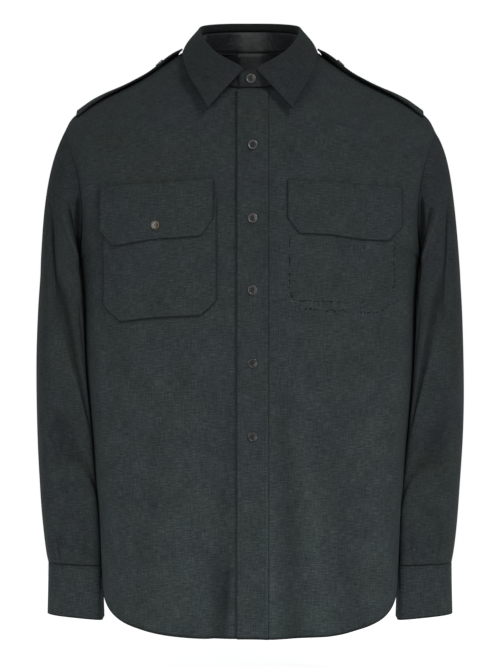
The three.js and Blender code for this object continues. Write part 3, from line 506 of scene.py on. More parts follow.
def wall(grids, core, thick=CLOTH, lift=0.0, folds=None):
    """Points, faces, map places and depth of crease of a closed wall.

    It is made from grids of outer points, joined where they share one; folds holds each point's depth."""
    points = np.concatenate([grid.reshape(-1, 3) for grid in grids])
    maps = np.concatenate([grid_map(grid).reshape(-1, 2) for grid in grids])
    starts = np.cumsum([0] + [grid[..., 0].size for grid in grids[:-1]])
    quads = np.concatenate([quads_of(grid, core) + start for grid, start in zip(grids, starts)])
    corner_maps = maps[quads]
    _, first, joined = np.unique(np.round(points * JOIN_STEPS).astype(np.int64), axis=0, return_index=True,
                                 return_inverse=True)
    depth = np.concatenate([f.reshape(-1) for f in folds])[first] if folds else np.zeros(len(first))
    points, quads = points[first], joined.reshape(-1)[quads]
    normal = face_normals(points[quads])
    normals = np.zeros_like(points)
    for k in range(4):
        np.add.at(normals, quads[:, k], normal)
    normals = unit(normals)
    n = len(points)
    a, b, owner = border(quads, n)
    along = unit(points[b] - points[a])
    inwards = np.zeros_like(points)
    for i in (a, b):
        np.add.at(inwards, i, np.cross(normals[i], along))
    trimmed = points + unit(inwards) * (np.abs(inwards).sum(-1, keepdims=True) > 1e-9) * SEAM / 2
    outer, inner = trimmed + normals * lift, trimmed + normals * (lift - thick)
    rim = np.stack([b, a, a + n, b + n], -1)
    rim_map = corner_maps[owner].mean(1, keepdims=True).repeat(4, 1)
    faces = np.concatenate([quads, quads[:, ::-1] + n, rim])
    corner_maps = np.concatenate([corner_maps, corner_maps[:, ::-1], rim_map])
    return np.concatenate([outer, inner]), faces, corner_maps, np.concatenate([depth, depth])


def grid_map(grid):
    """Map places in millimetres along the cloth; long pieces keep their threads level and upright."""
    across = np.linalg.norm(np.diff(grid, axis=1), axis=-1)
    down = np.linalg.norm(np.diff(grid, axis=0), axis=-1)
    u = np.concatenate([np.zeros((grid.shape[0], 1)), np.cumsum(across, 1)], 1)
    v = np.concatenate([np.zeros((1, grid.shape[1])), np.cumsum(down, 0)], 0)
    if np.ptp(grid[..., 2]) > 400:
        level = np.argmin(np.abs(grid[..., 2] + 260), axis=0)
        columns = np.arange(grid.shape[1])
        v = v - v[level, columns] - grid[level, columns, 2]
        u = np.sign(grid[..., 0].mean()) * (np.abs(grid[:, :1, 0]) + u)
    return np.stack([u, v], -1)


def map_corners(mesh, faces, maps):
    """Gives each corner of the mesh its place on the grain map."""
    places = []
    for face, spots in zip(faces.tolist(), maps.tolist()):
        first = {}
        for corner, spot in zip(face, spots):
            first.setdefault(corner, spot)
        places.extend(first.values())
    mesh.uv_layers.new(name="grain").data.foreach_set("uv", (np.array(places) * MM).ravel())


def mark_points(mesh, name, values):
    """Stores a value at each point of the mesh, for its material."""
    mesh.attributes.new(name, "FLOAT", "POINT").data.foreach_set("value", values)


def make_piece(name, shape, cloth, replaces=None, smooth_shading=True, inside=None):
    """A finished mesh object from points in millimetres, faces of up to four corners, and map places."""
    points, faces, maps, depth = shape
    kept = [i for i, face in enumerate(faces.tolist()) if len(set(face)) > 2]
    faces = faces[kept]
    mesh = bpy.data.meshes.new(name)
    mesh.from_pydata((points * MM).tolist(), [], [list(dict.fromkeys(face)) for face in faces.tolist()])
    if smooth_shading:
        mesh.shade_smooth()
    mesh.materials.append(cloth)
    if maps is not None:
        map_corners(mesh, faces, maps[kept])
        behind = faces >= len(points) // 2
        edge = np.zeros(len(points))
        edge[faces[behind.any(1) & ~behind.all(1)].reshape(-1)] = 1
        mark_points(mesh, "edge", edge)
        mark_points(mesh, "crease", depth)
        if inside:
            mesh.materials.append(inside)
            mesh.polygons.foreach_set("material_index", behind.all(1).astype(np.int32))
    mesh.validate()
    obj = bpy.data.objects.new(name, mesh)
    bpy.context.scene.collection.objects.link(obj)
    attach(obj, "root")
    if replaces:
        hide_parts(*replaces)
    return obj


# Cores: a place inside the shirt for each point p, from which its wall faces away

def body_core(p):
    return vec(0 * p[..., 0], 0 * p[..., 0], p[..., 2] - 20)


def neck_core(p):
    return vec(0 * p[..., 0], NECK_CENTRE_Y + 0 * p[..., 0], p[..., 2])


# Rows of the fine grids in each row of the tables, and columns of half a face
ROW_STEPS, COLUMNS = 8, 84


def fine_rows(first, last):
    """Row numbers of a fine grid between two rows of the table."""
    rows = [np.linspace(i, i + 1, ROW_STEPS + 1)[:-1] for i in range(first, last)]
    return np.concatenate(rows + [[last]])


def body_grid(face, side, rows, start=0.0, lap=0.0):
    """A grid of one half of a face, from its edge at start; lap pushes the part by the centre inwards."""
    v = rows[:, None]
    row = body_row(face, rows)
    outX = row["outer"][:, 0]
    cut = np.clip((rows - (NECK_END[face] - 1)), 0, 1)
    start_x = mix(row["inX"], start, smooth(cut)) if start else row["inX"]
    start_x = np.where(rows >= NECK_END[face], start, start_x)
    turn = mix(np.arcsin(start_x / outX)[:, None], np.pi / 2, np.linspace(0, 1, COLUMNS + 1)[None])
    x = outX[:, None] * np.sin(turn)
    x[:, -1] = outX
    grid = body_point(face, v + 0 * x, side * x)
    grid[:, -1] = row["outer"] * [side, 1, 1]
    if lap:
        under = smooth((60 + grid[..., 0]) / 30)
        grid[..., 1] += lap * under
    return grid


def front_at(x, z, lift=0.0):
    """Points of the front at the given x and z, moved out by lift."""
    x, z = np.broadcast_arrays(np.asarray(x, float), np.asarray(z, float))
    low = np.full(x.shape, float(NECK_END["front"]))
    high = np.full(x.shape, float(LAST_ROW["front"]))
    for _ in range(22):
        middle = (low + high) / 2
        above = body_base("front", middle, x)[..., 2] > z
        low, high = np.where(above, middle, low), np.where(above, high, middle)
    p = body_point("front", low, x)
    if lift:
        outX = body_row("front", low)["outer"][..., 0]
        f = np.clip(np.abs(x) / outX, 0, 0.999)
        p = p + unit(vec(np.sign(x) * f ** 2.2 * 0.9, -1 + 0 * f, 0 * f)) * lift
    return p


def patch_grid(outline, columns=60, rows=44):
    """A patch on the front, its corners kept sharp."""
    x = outline["x"]
    across = np.unique(np.concatenate([np.linspace(x[0], x[-1], columns), x]))
    top, bottom = np.interp(across, x, outline["top"]), np.interp(across, x, outline["bottom"])
    down = np.linspace(0, 1, rows)[:, None]
    return front_at(across[None] + 0 * down, mix(top[None], bottom[None], down))


def front_core(p):
    return vec(p[..., 0] * 0.6, 0 * p[..., 0], p[..., 2])


def strap_core(p):
    return vec(p[..., 0], 0 * p[..., 0], -300)


def sleeve_core(side):
    return lambda p: vec(side * 228 + 0 * p[..., 0], 0 * p[..., 0], p[..., 2])


def sleeve_turns():
    """Turns of a sleeve's columns, which meet the rows of front and back at the armhole."""
    front = at(ROWS["front"], "row", fine_rows(0, UNDERARM_ROW["front"]))["armTurn"]
    back = at(ROWS["back"], "row", fine_rows(0, UNDERARM_ROW["back"]))["armTurn"]
    return np.concatenate([front, -back[1:-1][::-1], [360.0]])


def sleeve_grid(side):
    """A sleeve's grid, and the depth of crease at each of its points."""
    station = np.linspace(0, SLEEVE_END, 141)
    turns = sleeve_turns()
    row = {name: value[:, None] for name, value in at(SLEEVE, "station", station).items()}
    signed = np.where(turns == 360, 0, turns)[None]
    grid = tube_point(row, signed, side)
    grid[:, -1] = grid[:, 0]
    return grid, sleeve_folds(station[:, None], signed, side) * smooth(station / 0.6)[:, None]


def collar_ring(pick):
    """A ring round the collar from one half of it, picked from its table's curves."""
    part = np.linspace(0, 11, 78)
    c = at(COLLAR, "part", part)
    half = pick(c)
    return np.concatenate([half, half[-2::-1] * [-1, 1, 1]])


def collar_out(c):
    """The level way out from the neck at each place of the collar."""
    return unit(vec(c["rollX"], c["rollY"] - NECK_CENTRE_Y, 0))


# Rings over the roll of the collar: share of the drop, then how far up and out
COLLAR_ROLL = ((1, LAYER, 0), (0.6, 0, 0), (0.3, 0, 0), (0, 0.1, 0.3), (0, 0.6, 1.6), (0, 0.1, 3.0))


def collar_fall_grid():
    rings = []
    for drop, up, out in COLLAR_ROLL:
        rings.append(collar_ring(lambda c: vec(c["rollX"], c["rollY"], c["rollZ"] - drop * c["drop"] + up)
                                 + collar_out(c) * out))
    for t in np.linspace(0, 1, 26):
        def leaf(c):
            start = vec(c["rollX"], c["rollY"], c["rollZ"] - 2) + collar_out(c) * 4.6
            end = vec(c["edgeX"], c["edgeY"], c["edgeZ"])
            roll = 0.35 * np.sin(c["part"] * 2.1 + 3 * t) * math.sin(math.pi * t)
            return mix(start, end, t) + collar_out(c) * (3 * math.sin(math.pi * t) + roll[:, None])
        rings.append(collar_ring(leaf))
    return np.array(rings)


STAND_OVERLAP, STAND_FOOT_GAP, STAND_TOP_GAP = 2.3, 0.7, 0.9
STAND_CENTRE_Y, STAND_LIFT, STAND_TURNS = -14, BAND - 0.05, (-10.5, 373)


def stand_grid():
    """The stand round the neck, its right end pushed in under the left."""
    turn = np.linspace(*STAND_TURNS, 150)
    folded = np.minimum(np.abs(turn), np.abs(360 - turn))
    rolls = {
        "turn": np.degrees(np.arctan2(COLLAR["rollX"], STAND_CENTRE_Y - COLLAR["rollY"])),
        "drop": COLLAR["drop"], "z": COLLAR["rollZ"],
        "radius": np.hypot(COLLAR["rollX"], COLLAR["rollY"] - STAND_CENTRE_Y),
    }
    roll = at(rolls, "turn", np.maximum(folded, rolls["turn"][0]))
    foot = neck_point(np.where(turn > 180, turn - 360, turn))
    foot[:, 2] += STAND_FOOT_GAP
    a = np.radians(turn)
    top = vec(roll["radius"] * np.sin(a), STAND_CENTRE_Y - roll["radius"] * np.cos(a),
              roll["z"] - roll["drop"] - STAND_TOP_GAP)
    under = STAND_OVERLAP * smooth((turn - 330) / 22)
    rings = []
    for up in np.linspace(0, 1, 9):
        p = mix(foot, top, up)
        reach = unit(vec(p[:, 0], p[:, 1] - NECK_CENTRE_Y, 0))
        rings.append(p - reach * under[:, None])
    return np.array(rings)


# How far the cuff's end lies under its start, the middle of the cuff, and where its ends stand
CUFF_LAP, CUFF_CORE_X, CUFF_TURNS, CUFF_END = 2.2, 224, (-48, 318), 16
SLIT_STATIONS, SLIT_TURNS = (11.2, 13.9), (-66, -86)


def cuff_grid(side):
    """A cuff, its end lapped under its start."""
    station = np.linspace(SLEEVE_END, CUFF_END, 22)
    turn = np.linspace(*CUFF_TURNS, 110)[None]
    row = {name: value[:, None] for name, value in at(CUFF, "station", station).items()}
    p = tube_point(row, np.where(turn > 180, turn - 360, turn), side)
    inwards = unit(vec(side * CUFF_CORE_X - p[..., 0], -p[..., 1], 0))
    return p + inwards * (CUFF_LAP * smooth((turn - 280) / 24))[..., None]


def sleeve_placket_grid(side):
    """The band over the slit above a cuff."""
    station = np.linspace(*SLIT_STATIONS, 40)
    turn = np.linspace(*SLIT_TURNS, 10)[None]
    row = {name: value[:, None] for name, value in at(SLEEVE, "station", station).items()}
    return tube_point(row, turn, side)


def strap_grid(side):
    """A shoulder strap, bowed over the shoulder and pressed down at its button."""
    tip, end = STRAP_LINE["x"][[0, -1]]
    x = np.concatenate([tip + 5 * np.linspace(0, 1, 10) ** 2, np.linspace(tip + 6, end, 48)])
    across = np.linspace(-1, 1, 25)[None]
    s = at(STRAP_LINE, "x", x)
    half = s["half"][:, None]
    bow = s["sag"][:, None] * across ** 2 + s["fall"][:, None] * np.maximum(across, 0) ** 2
    off = across * half
    dip = STRAP_DIP * np.exp(-((x[:, None] - STRAP_BUTTON_X) / 14) ** 2) * (1 - across ** 2)
    puff = 0.15 * np.sin(x[:, None] / 13 + across) * (1 - across ** 4)
    return vec(side * x[:, None] + 0 * off, s["y"][:, None] + off,
               s["z"][:, None] + STRAP_TILT * off - bow - dip + puff)


# Stitches, short raised threads laid on a finished piece

def laid_on(obj, points):
    """The nearest places of a piece's surface to some points, with the way it faces there."""
    tree = BVHTree.FromObject(obj, bpy.context.evaluated_depsgraph_get())
    places, facing = [], []
    for p in points:
        spot, normal, _, _ = tree.find_nearest(Vector(p * MM))
        places.append(np.array(spot) / MM)
        facing.append(np.array(normal))
    return np.array(places), np.array(facing)


def resample(line, pitch):
    """Evenly spaced places on a line, about a pitch apart."""
    line = np.asarray(line, float)
    length = np.concatenate([[0], np.cumsum(np.linalg.norm(np.diff(line, axis=0), axis=1))])
    count = max(int(length[-1] / pitch), 1)
    spots = (np.arange(count) + 0.5) * length[-1] / count
    return np.stack([np.interp(spots, length, line[:, k]) for k in range(3)], -1)


def stitches(places, facing, along, length, radius):
    """Closed four-sided stitches, whose ends dip into the cloth."""
    along = unit(along - facing * np.sum(along * facing, -1, keepdims=True))
    across = np.cross(facing, along)
    points = [places - along * length / 2 - facing * radius]
    for end in (-0.3, 0.3):
        for a, b in ((1, 0), (0, 1), (-1, 0), (0, -1)):
            points.append(places + along * (length * end) + across * (a * radius) + facing * (b * radius))
    points.append(places + along * length / 2 - facing * radius)
    points = np.stack(points, 1)
    one = [(0, 1 + k, 1 + (k + 1) % 4, 1 + (k + 1) % 4) for k in range(4)]
    one += [(1 + k, 5 + k, 5 + (k + 1) % 4, 1 + (k + 1) % 4) for k in range(4)]
    one += [(9, 5 + (k + 1) % 4, 5 + k, 5 + k) for k in range(4)]
    one = np.array(one)[:, ::-1]
    faces = one[None] + (np.arange(len(places)) * 10)[:, None, None]
    return points.reshape(-1, 3), faces.reshape(-1, 4)


def thread_piece(name, parts, thread):
    """One piece that joins many stitches, each part a pair of points and faces."""
    starts = np.cumsum([0] + [len(points) for points, _ in parts[:-1]])
    points = np.concatenate([points for points, _ in parts])
    faces = np.concatenate([faces + start for (_, faces), start in zip(parts, starts)])
    make_piece(name, (points, faces, None, None), thread, smooth_shading=False)


def sew(name, runs, thread, sizes):
    """One joined piece from runs of (the piece sewn, its line of points)."""
    parts = []
    long, thick = sizes.stitch_length / MM, sizes.thread_radius / MM
    for obj, line in runs:
        spots = resample(line, long + sizes.stitch_gap / MM)
        along = np.gradient(spots, axis=0) if len(spots) > 1 else np.array([line[-1] - line[0]])
        places, facing = laid_on(obj, spots)
        parts.append(stitches(places, facing, unit(along), long, thick))
    thread_piece(name, parts, thread)


# Materials

class Sum:
    """A number carried by a node socket, so that a material's sums read as plain arithmetic."""

    def __init__(self, tree, socket):
        self.tree, self.socket = tree, socket

    def made(self, operation, *values):
        math_node = self.tree.nodes.new("ShaderNodeMath")
        math_node.operation = operation
        for socket, value in zip(math_node.inputs, values):
            if isinstance(value, Sum):
                self.tree.links.new(value.socket, socket)
            else:
                socket.default_value = value
        return Sum(self.tree, math_node.outputs[0])

    def of(self, operation):
        return self.made(operation, self)

    def __add__(self, other):
        return self.made("ADD", self, other)

    def __mul__(self, other):
        return self.made("MULTIPLY", self, other)

    def __sub__(self, other):
        return self.made("SUBTRACT", self, other)

    def __rsub__(self, other):
        return self.made("SUBTRACT", other, self)

    def least(self, floor):
        return self.made("MAXIMUM", self, floor)

    def most(self, ceiling):
        return self.made("MINIMUM", self, ceiling)

    def to(self, socket):
        self.tree.links.new(self.socket, socket)


def node(tree, kind, **values):
    """A node, with values set on its sockets or, where it has no such socket, on the node."""
    made = tree.nodes.new(kind)
    for name, value in values.items():
        if name in made.inputs:
            made.inputs[name].default_value = value
        else:
            setattr(made, name, value)
    return made


def noise(tree, vector, scale, detail=2.0, rough=0.5, swirl=0.0):
    """Noise read at the given places."""
    made = node(tree, "ShaderNodeTexNoise", Scale=scale, Detail=detail, Roughness=rough, Distortion=swirl)
    tree.links.new(vector, made.inputs["Vector"])
    return Sum(tree, made.outputs["Fac"])


def stretched(tree, vector, x, y):
    """Places drawn out by x and y."""
    made = node(tree, "ShaderNodeVectorMath", operation="MULTIPLY")
    tree.links.new(vector, made.inputs[0])
    made.inputs[1].default_value = (x, y, 1)
    return made.outputs[0]


def attribute(tree, name):
    return Sum(tree, node(tree, "ShaderNodeAttribute", attribute_name=name).outputs["Fac"])


def split(tree, vector):
    """The three parts of a place or direction."""
    made = tree.nodes.new("ShaderNodeSeparateXYZ")
    tree.links.new(vector, made.inputs[0])
    return [Sum(tree, socket) for socket in made.outputs]


def object_place(tree):
    return tree.nodes.new("ShaderNodeTexCoord").outputs["Object"]


def grain_place(tree):
    return node(tree, "ShaderNodeUVMap", uv_map="grain").outputs[0]


def tones(tree, factor, stops):
    """A colour for each value of factor, blended between stops."""
    ramp = tree.nodes.new("ShaderNodeValToRGB")
    factor.to(ramp.inputs[0])
    while len(ramp.color_ramp.elements) < len(stops):
        ramp.color_ramp.elements.new(0.5)
    for element, (position, colour) in zip(ramp.color_ramp.elements, stops):
        element.position = position
        element.color = (*colour, 1)
    return ramp.outputs[0]


def shade(colour, k, warm=0.0):
    """A colour made k times as light, and warmer or cooler."""
    return tuple(c * k * (1 + warm * w) for c, w in zip(colour, (1, 0, -1)))


def new_material(name, **values):
    """A material, its node tree and its shader, with values set on the shader's own sockets."""
    made = bpy.data.materials.new(name)
    made.use_nodes = True
    tree = made.node_tree
    tree.nodes.clear()
    out = tree.nodes.new("ShaderNodeOutputMaterial")
    shader = tree.nodes.new("ShaderNodeBsdfPrincipled")
    for socket, value in values.items():
        shader.inputs[socket.replace("_", " ")].default_value = value
    tree.links.new(shader.outputs[0], out.inputs["Surface"])
    return made, tree, shader


def roughened(tree, shader, height, strength, distance):
    """Gives the shader a fine relief."""
    bump = node(tree, "ShaderNodeBump", Strength=strength, Distance=distance)
    height.to(bump.inputs["Height"])
    tree.links.new(bump.outputs[0], shader.inputs["Normal"])


def weave_group():
    """Plain weave of thick and thin yarn: a tone and a height, from places along the cloth in metres."""
    tree = bpy.data.node_groups.get("slubbed_plain_weave")
    if tree:
        return tree
    tree = bpy.data.node_groups.new("slubbed_plain_weave", "ShaderNodeTree")
    for name, way, kind in (("Place", "INPUT", "Vector"), ("Threads per metre", "INPUT", "Float"),
                            ("Tone", "OUTPUT", "Float"), ("Height", "OUTPUT", "Float")):
        tree.interface.new_socket(name, in_out=way, socket_type=f"NodeSocket{kind}")
    given, out = tree.nodes.new("NodeGroupInput"), tree.nodes.new("NodeGroupOutput")
    place = given.outputs["Place"]
    weft = noise(tree, stretched(tree, place, 90, 900), 1, 3, 0.65)
    warp = noise(tree, stretched(tree, place, 760, 60), 1, 3, 0.6)
    flecks = (noise(tree, place, 520, 3, 0.7) - 0.5) * 1.2
    clouds = (noise(tree, place, 30, 3) - 0.5) * 0.45
    slubs = weft * 1.9 + warp - 1.45
    (slubs + flecks + clouds + 0.5).to(out.inputs["Tone"])
    pitch = Sum(tree, given.outputs["Threads per metre"]) * math.pi
    u, v, _ = split(tree, place)
    over = ((u * pitch).of("SINE") + (v * pitch).of("SINE")).of("ABSOLUTE")
    (over * 0.35 + slubs * 0.7).to(out.inputs["Height"])
    return tree


# Painted shade: how much the cloth darkens with each millimetre of a crease's depth; its ridges are painted
# paler as painted light
CREASE_SHADE = 0.07


def cloth_material(name, colour, contrast, threads, edge_shade, crumple=1.0, nape=0.0):
    """Woollen cloth that follows the piece's own grain map.

    It is lighter towards the hem as painted light. It has painted shade along its edges, in its creases and
    at the nape, and its crease ridges are painted paler as painted light."""
    made, tree, shader = new_material(name, Roughness=0.9, Specular_IOR_Level=0.25, Sheen_Weight=0.12,
                                      Sheen_Roughness=0.5, Sheen_Tint=(*shade(colour, 8), 1))
    weave = tree.nodes.new("ShaderNodeGroup")
    weave.node_tree = weave_group()
    weave.inputs["Threads per metre"].default_value = threads
    tree.links.new(grain_place(tree), weave.inputs["Place"])
    yarn = tones(tree, Sum(tree, weave.outputs["Tone"]), [
        (0.1, shade(colour, 1 - 1.7 * contrast, -0.06)), (0.42, shade(colour, 1 - 0.2 * contrast)),
        (0.58, shade(colour, 1 + 0.2 * contrast)), (0.9, shade(colour, 1 + 2.6 * contrast, 0.06)),
    ])
    place = object_place(tree)
    _, y, z = split(tree, place)
    # Painted light: the cloth is made lighter towards the hem, standing in for light from below
    hem_lightening = z * -0.96 + 0.816
    facing_up = split(tree, tree.nodes.new("ShaderNodeNewGeometry").outputs["Normal"])[2]
    # Painted shade: the cloth is darkened along its seams and edges, most under edges that face down
    edge_shaded = (1.0 - attribute(tree, "edge") * edge_shade * (0.8 - facing_up).least(0.1)).least(0.1)
    # Painted shade: the cloth is darkened towards the back of the neck
    nape_shade = ((y - 0.01) * 40).most(1).least(0) * -nape + 1
    # Painted shade in the creases and painted light on their ridges
    crease_shading = (1 - attribute(tree, "crease") * CREASE_SHADE).most(1.4).least(0.5)
    tint = tones(tree, noise(tree, place, 15, 2), [(0.38, (0.99, 0.98, 1.06)), (0.62, (0.985, 1.02, 0.96))])
    tinted = node(tree, "ShaderNodeVectorMath", operation="MULTIPLY")
    tree.links.new(yarn, tinted.inputs[0])
    tree.links.new(tint, tinted.inputs[1])
    scaled = node(tree, "ShaderNodeVectorMath", operation="SCALE")
    tree.links.new(tinted.outputs[0], scaled.inputs[0])
    (hem_lightening * (edge_shaded * nape_shade * crease_shading)).to(scaled.inputs["Scale"])
    tree.links.new(scaled.outputs[0], shader.inputs["Base Color"])
    soft = noise(tree, place, 26, 3, 0.45) * (5.0 * crumple)
    small = noise(tree, place, 95, 2, 0.5) * (0.55 * crumple)
    roughened(tree, shader, soft + small + Sum(tree, weave.outputs["Height"]) * 0.3, 0.55, 0.0006)
    return made


def lining_material(name, colour):
    """Smooth, softly shining cotton with a fine twill and old creases, with painted shade towards the sides
    that leaves a lighter middle.
    """
    made, tree, shader = new_material(name, Roughness=0.58, Specular_IOR_Level=0.3, Sheen_Weight=0.15)
    place = object_place(tree)
    patches = noise(tree, place, 26, 3, 0.55, 1.6)
    threads = noise(tree, stretched(tree, grain_place(tree), 2400, 260), 1, 1)
    x = split(tree, place)[0] + -0.002
    # Painted shade: the lining darkens away from the middle, as in the hollow of the neck
    side_shade = (x.of("ABSOLUTE") + -0.009).least(0) * 38
    tone = (patches * 0.8 + threads * 0.2) * 1.6 + -0.16 - side_shade
    tree.links.new(tones(tree, tone, [(0.05, shade(colour, 0.1, -0.3)), (0.35, shade(colour, 0.42, -0.15)),
                                      (0.55, colour), (0.8, shade(colour, 1.6, 0.03))]),
                   shader.inputs["Base Color"])
    roughened(tree, shader, noise(tree, place, 42, 3, 0.5) * 6.0 + threads * 0.1, 0.8, 0.0009)
    return made


def horn_material(name, dark, pale):
    """Polished clouded horn with faint streaks, and a painted highlight at the rim."""
    made, tree, shader = new_material(name, Coat_Weight=0.25, Coat_Roughness=0.08)
    place = object_place(tree)
    swirl = noise(tree, place, 190, 3, 0.6)
    streak = noise(tree, stretched(tree, place, 1400, 300), 1, 2)
    # Painted highlight: the rim is pushed towards the pale colour
    tone = swirl * 0.5 + streak * 0.2 + attribute(tree, "rim") * 0.5
    tree.links.new(tones(tree, tone, [(0.35, dark), (0.55, shade(dark, 2)), (0.8, pale)]),
                   shader.inputs["Base Color"])
    (swirl * 0.18 + 0.12).to(shader.inputs["Roughness"])
    roughened(tree, shader, streak, 0.2, 0.0002)
    return made


def thread_material(name, colour):
    """Dull twisted thread."""
    made, tree, shader = new_material(name, Roughness=0.8, Specular_IOR_Level=0.12)
    twist = noise(tree, object_place(tree), 900, 2)
    tree.links.new(tones(tree, twist, [(0.3, shade(colour, 0.7)), (0.7, shade(colour, 1.35))]),
                   shader.inputs["Base Color"])
    roughened(tree, shader, twist, 0.3, 0.0001)
    return made


def material(key):
    """One of the shirt's materials, made from the panel's colours the first time it is asked for."""
    name = f"shirt_{key}"
    if name in bpy.data.materials:
        return bpy.data.materials[name]
    scene = bpy.context.scene
    cloth, horn, sewing = scene.shirt_cloth, scene.shirt_buttons, scene.shirt_sewing
    if key.startswith("wool"):
        # Sleeves, cuffs and collar get shaded copies of the same cloth: their tones are painted shade
        tones_of = {"wool": 1, "wool_band": cloth.band_tone, "wool_cuff": cloth.cuff_tone,
                    "wool_collar": cloth.collar_shade, "wool_sleeve": cloth.sleeve_tone}
        crumple = {"wool_band": 0.5, "wool_cuff": 0.5, "wool_collar": 0.6}.get(key, 1.0)
        # Painted shade on the back of the collar, inside the neck
        nape = 0.55 if key == "wool_collar" else 0.0
        return cloth_material(name, shade(cloth.cloth_colour, tones_of[key]), cloth.slub_contrast,
                              cloth.threads_per_metre, cloth.painted_edge_shade, crumple, nape)
    if key == "lining":
        return lining_material(name, cloth.lining_colour)
    if key.endswith("horn"):
        kind = "horn" if key == "smoky_horn" else "tan"
        return horn_material(name, getattr(horn, f"{kind}_dark"), getattr(horn, f"{kind}_pale"))
    return thread_material(name, getattr(sewing, f"{key}_colour"))


# Settings

def tint(name, about, default):
    """A colour on the panel."""
    return FloatVectorProperty(name=name, description=about, size=3, subtype="COLOR", default=default,
                               min=0, max=1)


def amount(name, about, default, low, high, **kind):
    """A number on the panel, with its range."""
    return FloatProperty(name=name, description=about, default=default, min=low, max=high, **kind)


def size_of(name, about, default, low, high):
    """A length on the panel, with its range."""
    return amount(name, about, default, low, high, unit="LENGTH")


class ShirtCloth(bpy.types.PropertyGroup):
    cloth_colour: tint("Cloth colour", "Colour of the wool cloth", (0.0215, 0.0276, 0.0280))
    band_tone: amount("Band tone", "How light band, pocket, flaps and straps are", 0.98, 0.5, 1.5)
    # Painted shade: cuffs, collar and sleeves are shaded copies of the same cloth, darker than the fronts
    cuff_tone: amount("Cuff tone", "How light the cuffs are beside the fronts", 0.86, 0.5, 1.5)
    collar_shade: amount("Collar tone", "How light the collar is beside the fronts", 0.74, 0.5, 1.5)
    sleeve_tone: amount("Sleeve tone", "How light the sleeves are beside the fronts", 0.77, 0.5, 1.5)
    lining_colour: tint("Lining colour", "Colour of the inner yoke and stand", (0.027, 0.0295, 0.029))
    slub_contrast: amount("Slub contrast", "How strongly thick and thin yarns show", 0.3, 0, 0.6)
    # Painted shade along seams and edges, darkest under edges that face down
    painted_edge_shade: amount("Painted edge shade", "How much darker the cloth is along its seams and edges", 0.62, 0, 1)
    threads_per_metre: amount("Threads per metre", "Threads in one metre of the weave", 1100, 200, 4000)


class ShirtSewing(bpy.types.PropertyGroup):
    stitch_length: size_of("Stitch length", "Length of one stitch", 0.0023, 0.001, 0.006)
    stitch_gap: size_of("Stitch gap", "Gap between two stitches", 0.0007, 0.0001, 0.004)
    thread_radius: size_of("Thread radius", "Radius of the sewing thread", 0.00024, 0.00005, 0.001)
    thread_colour: tint("Thread colour", "Colour of the sewing thread", (0.026, 0.033, 0.033))
    # The old threads' near-black colour is also painted shade of the needle holes they sit in
    old_thread_colour: tint("Old thread colour", "Colour of the threads left behind", (0.004, 0.006, 0.007))
    pale_thread_colour: tint("Pale speck colour", "Colour of the needle holes' specks", (0.075, 0.09, 0.09))


class ShirtButtons(bpy.types.PropertyGroup):
    button_radius: size_of("Button radius", "Radius of most buttons", 0.0058, 0.003, 0.012)
    pocket_button_radius: size_of("Pocket button", "Radius of the pocket's button", 0.0052, 0.003, 0.012)
    button_thickness: size_of("Button thickness", "Thickness of a button", 0.0024, 0.001, 0.006)
    horn_dark: tint("Horn, dark", "Dark clouds of the smoky horn", (0.016, 0.016, 0.015))
    # The pale colours are the horn's pale clouds and also the painted highlight on each rim
    horn_pale: tint("Horn, pale", "Pale clouds of the smoky horn", (0.075, 0.076, 0.07))
    tan_dark: tint("Tan horn, dark", "Dark clouds of the tan horn", (0.014, 0.009, 0.005))
    tan_pale: tint("Tan horn, pale", "Pale clouds of the tan horn", (0.13, 0.10, 0.055))


class ShirtStage(bpy.types.PropertyGroup):
    camera_distance: size_of("Camera distance", "Distance of the camera from the shirt", 3.5, 1, 10)
    camera_height: size_of("Camera height", "Height of the camera", -0.346, -2, 2)
    lens: amount("Lens", "Focal length in millimetres", 149.1, 20, 400)
    surround: amount("Surround", "Strength of the light from all round", 0.3, 0, 5)
    key: amount("Key light", "Power of the soft light high on the right, in watts", 42, 0, 500)
    fill: amount("Fill light", "Power of the soft light low on the left, in watts", 31, 0, 500)
    floor_z: size_of("Floor height", "Height of the floor", -0.8, -2, 0)


# Pieces

def half_grids(face, first, last):
    """Both halves of a face between two rows of its table."""
    rows = fine_rows(first, last)
    return [body_grid(face, side, rows) for side in (1, -1)]


def shell(name, shape, cloth, inside=None):
    """The fine shell of a cloth piece, in place of the solid of the same name."""
    return make_piece(f"shirt_{name}", shape, material(cloth), [name], inside=inside)


def panel_shell(name, face, grids, cloth="wool", lift=0.0):
    """A shell that lies on the body and takes its creases."""
    folds = [body_folds(face, grid) for grid in grids]
    return shell(name, wall(grids, body_core, lift=lift, folds=folds), cloth)


class SHIRT_OT_body(bpy.types.Operator):
    """Makes the two fronts, the yoke, its smooth inner layer and the back"""
    bl_idname = "shirt.body"
    bl_label = "Body"

    def execute(self, context):
        rows = fine_rows(0, LAST_ROW["front"])
        left = panel_shell("front_left", "front", [body_grid("front", 1, rows, PLACKET_FROM)])
        under = body_grid("front", -1, rows, -UNDER_FRONT_TO, FRONT_INSET)
        right = panel_shell("front_right", "front", [under])
        yoke_grids = half_grids("back", 0, YOKE_SEAM_ROW)
        yoke = shell("yoke", wall(yoke_grids, body_core), "wool")
        inner_grids = [grid[:, : int(grid.shape[1] * INNER_YOKE_SHARE)] for grid in yoke_grids]
        inner = shell("yoke_inner", wall(inner_grids, body_core, lift=-CLOTH - LAYER), "lining")
        back = panel_shell("back", "back", half_grids("back", YOKE_SEAM_ROW, LAST_ROW["back"]))
        return {"FINISHED"}


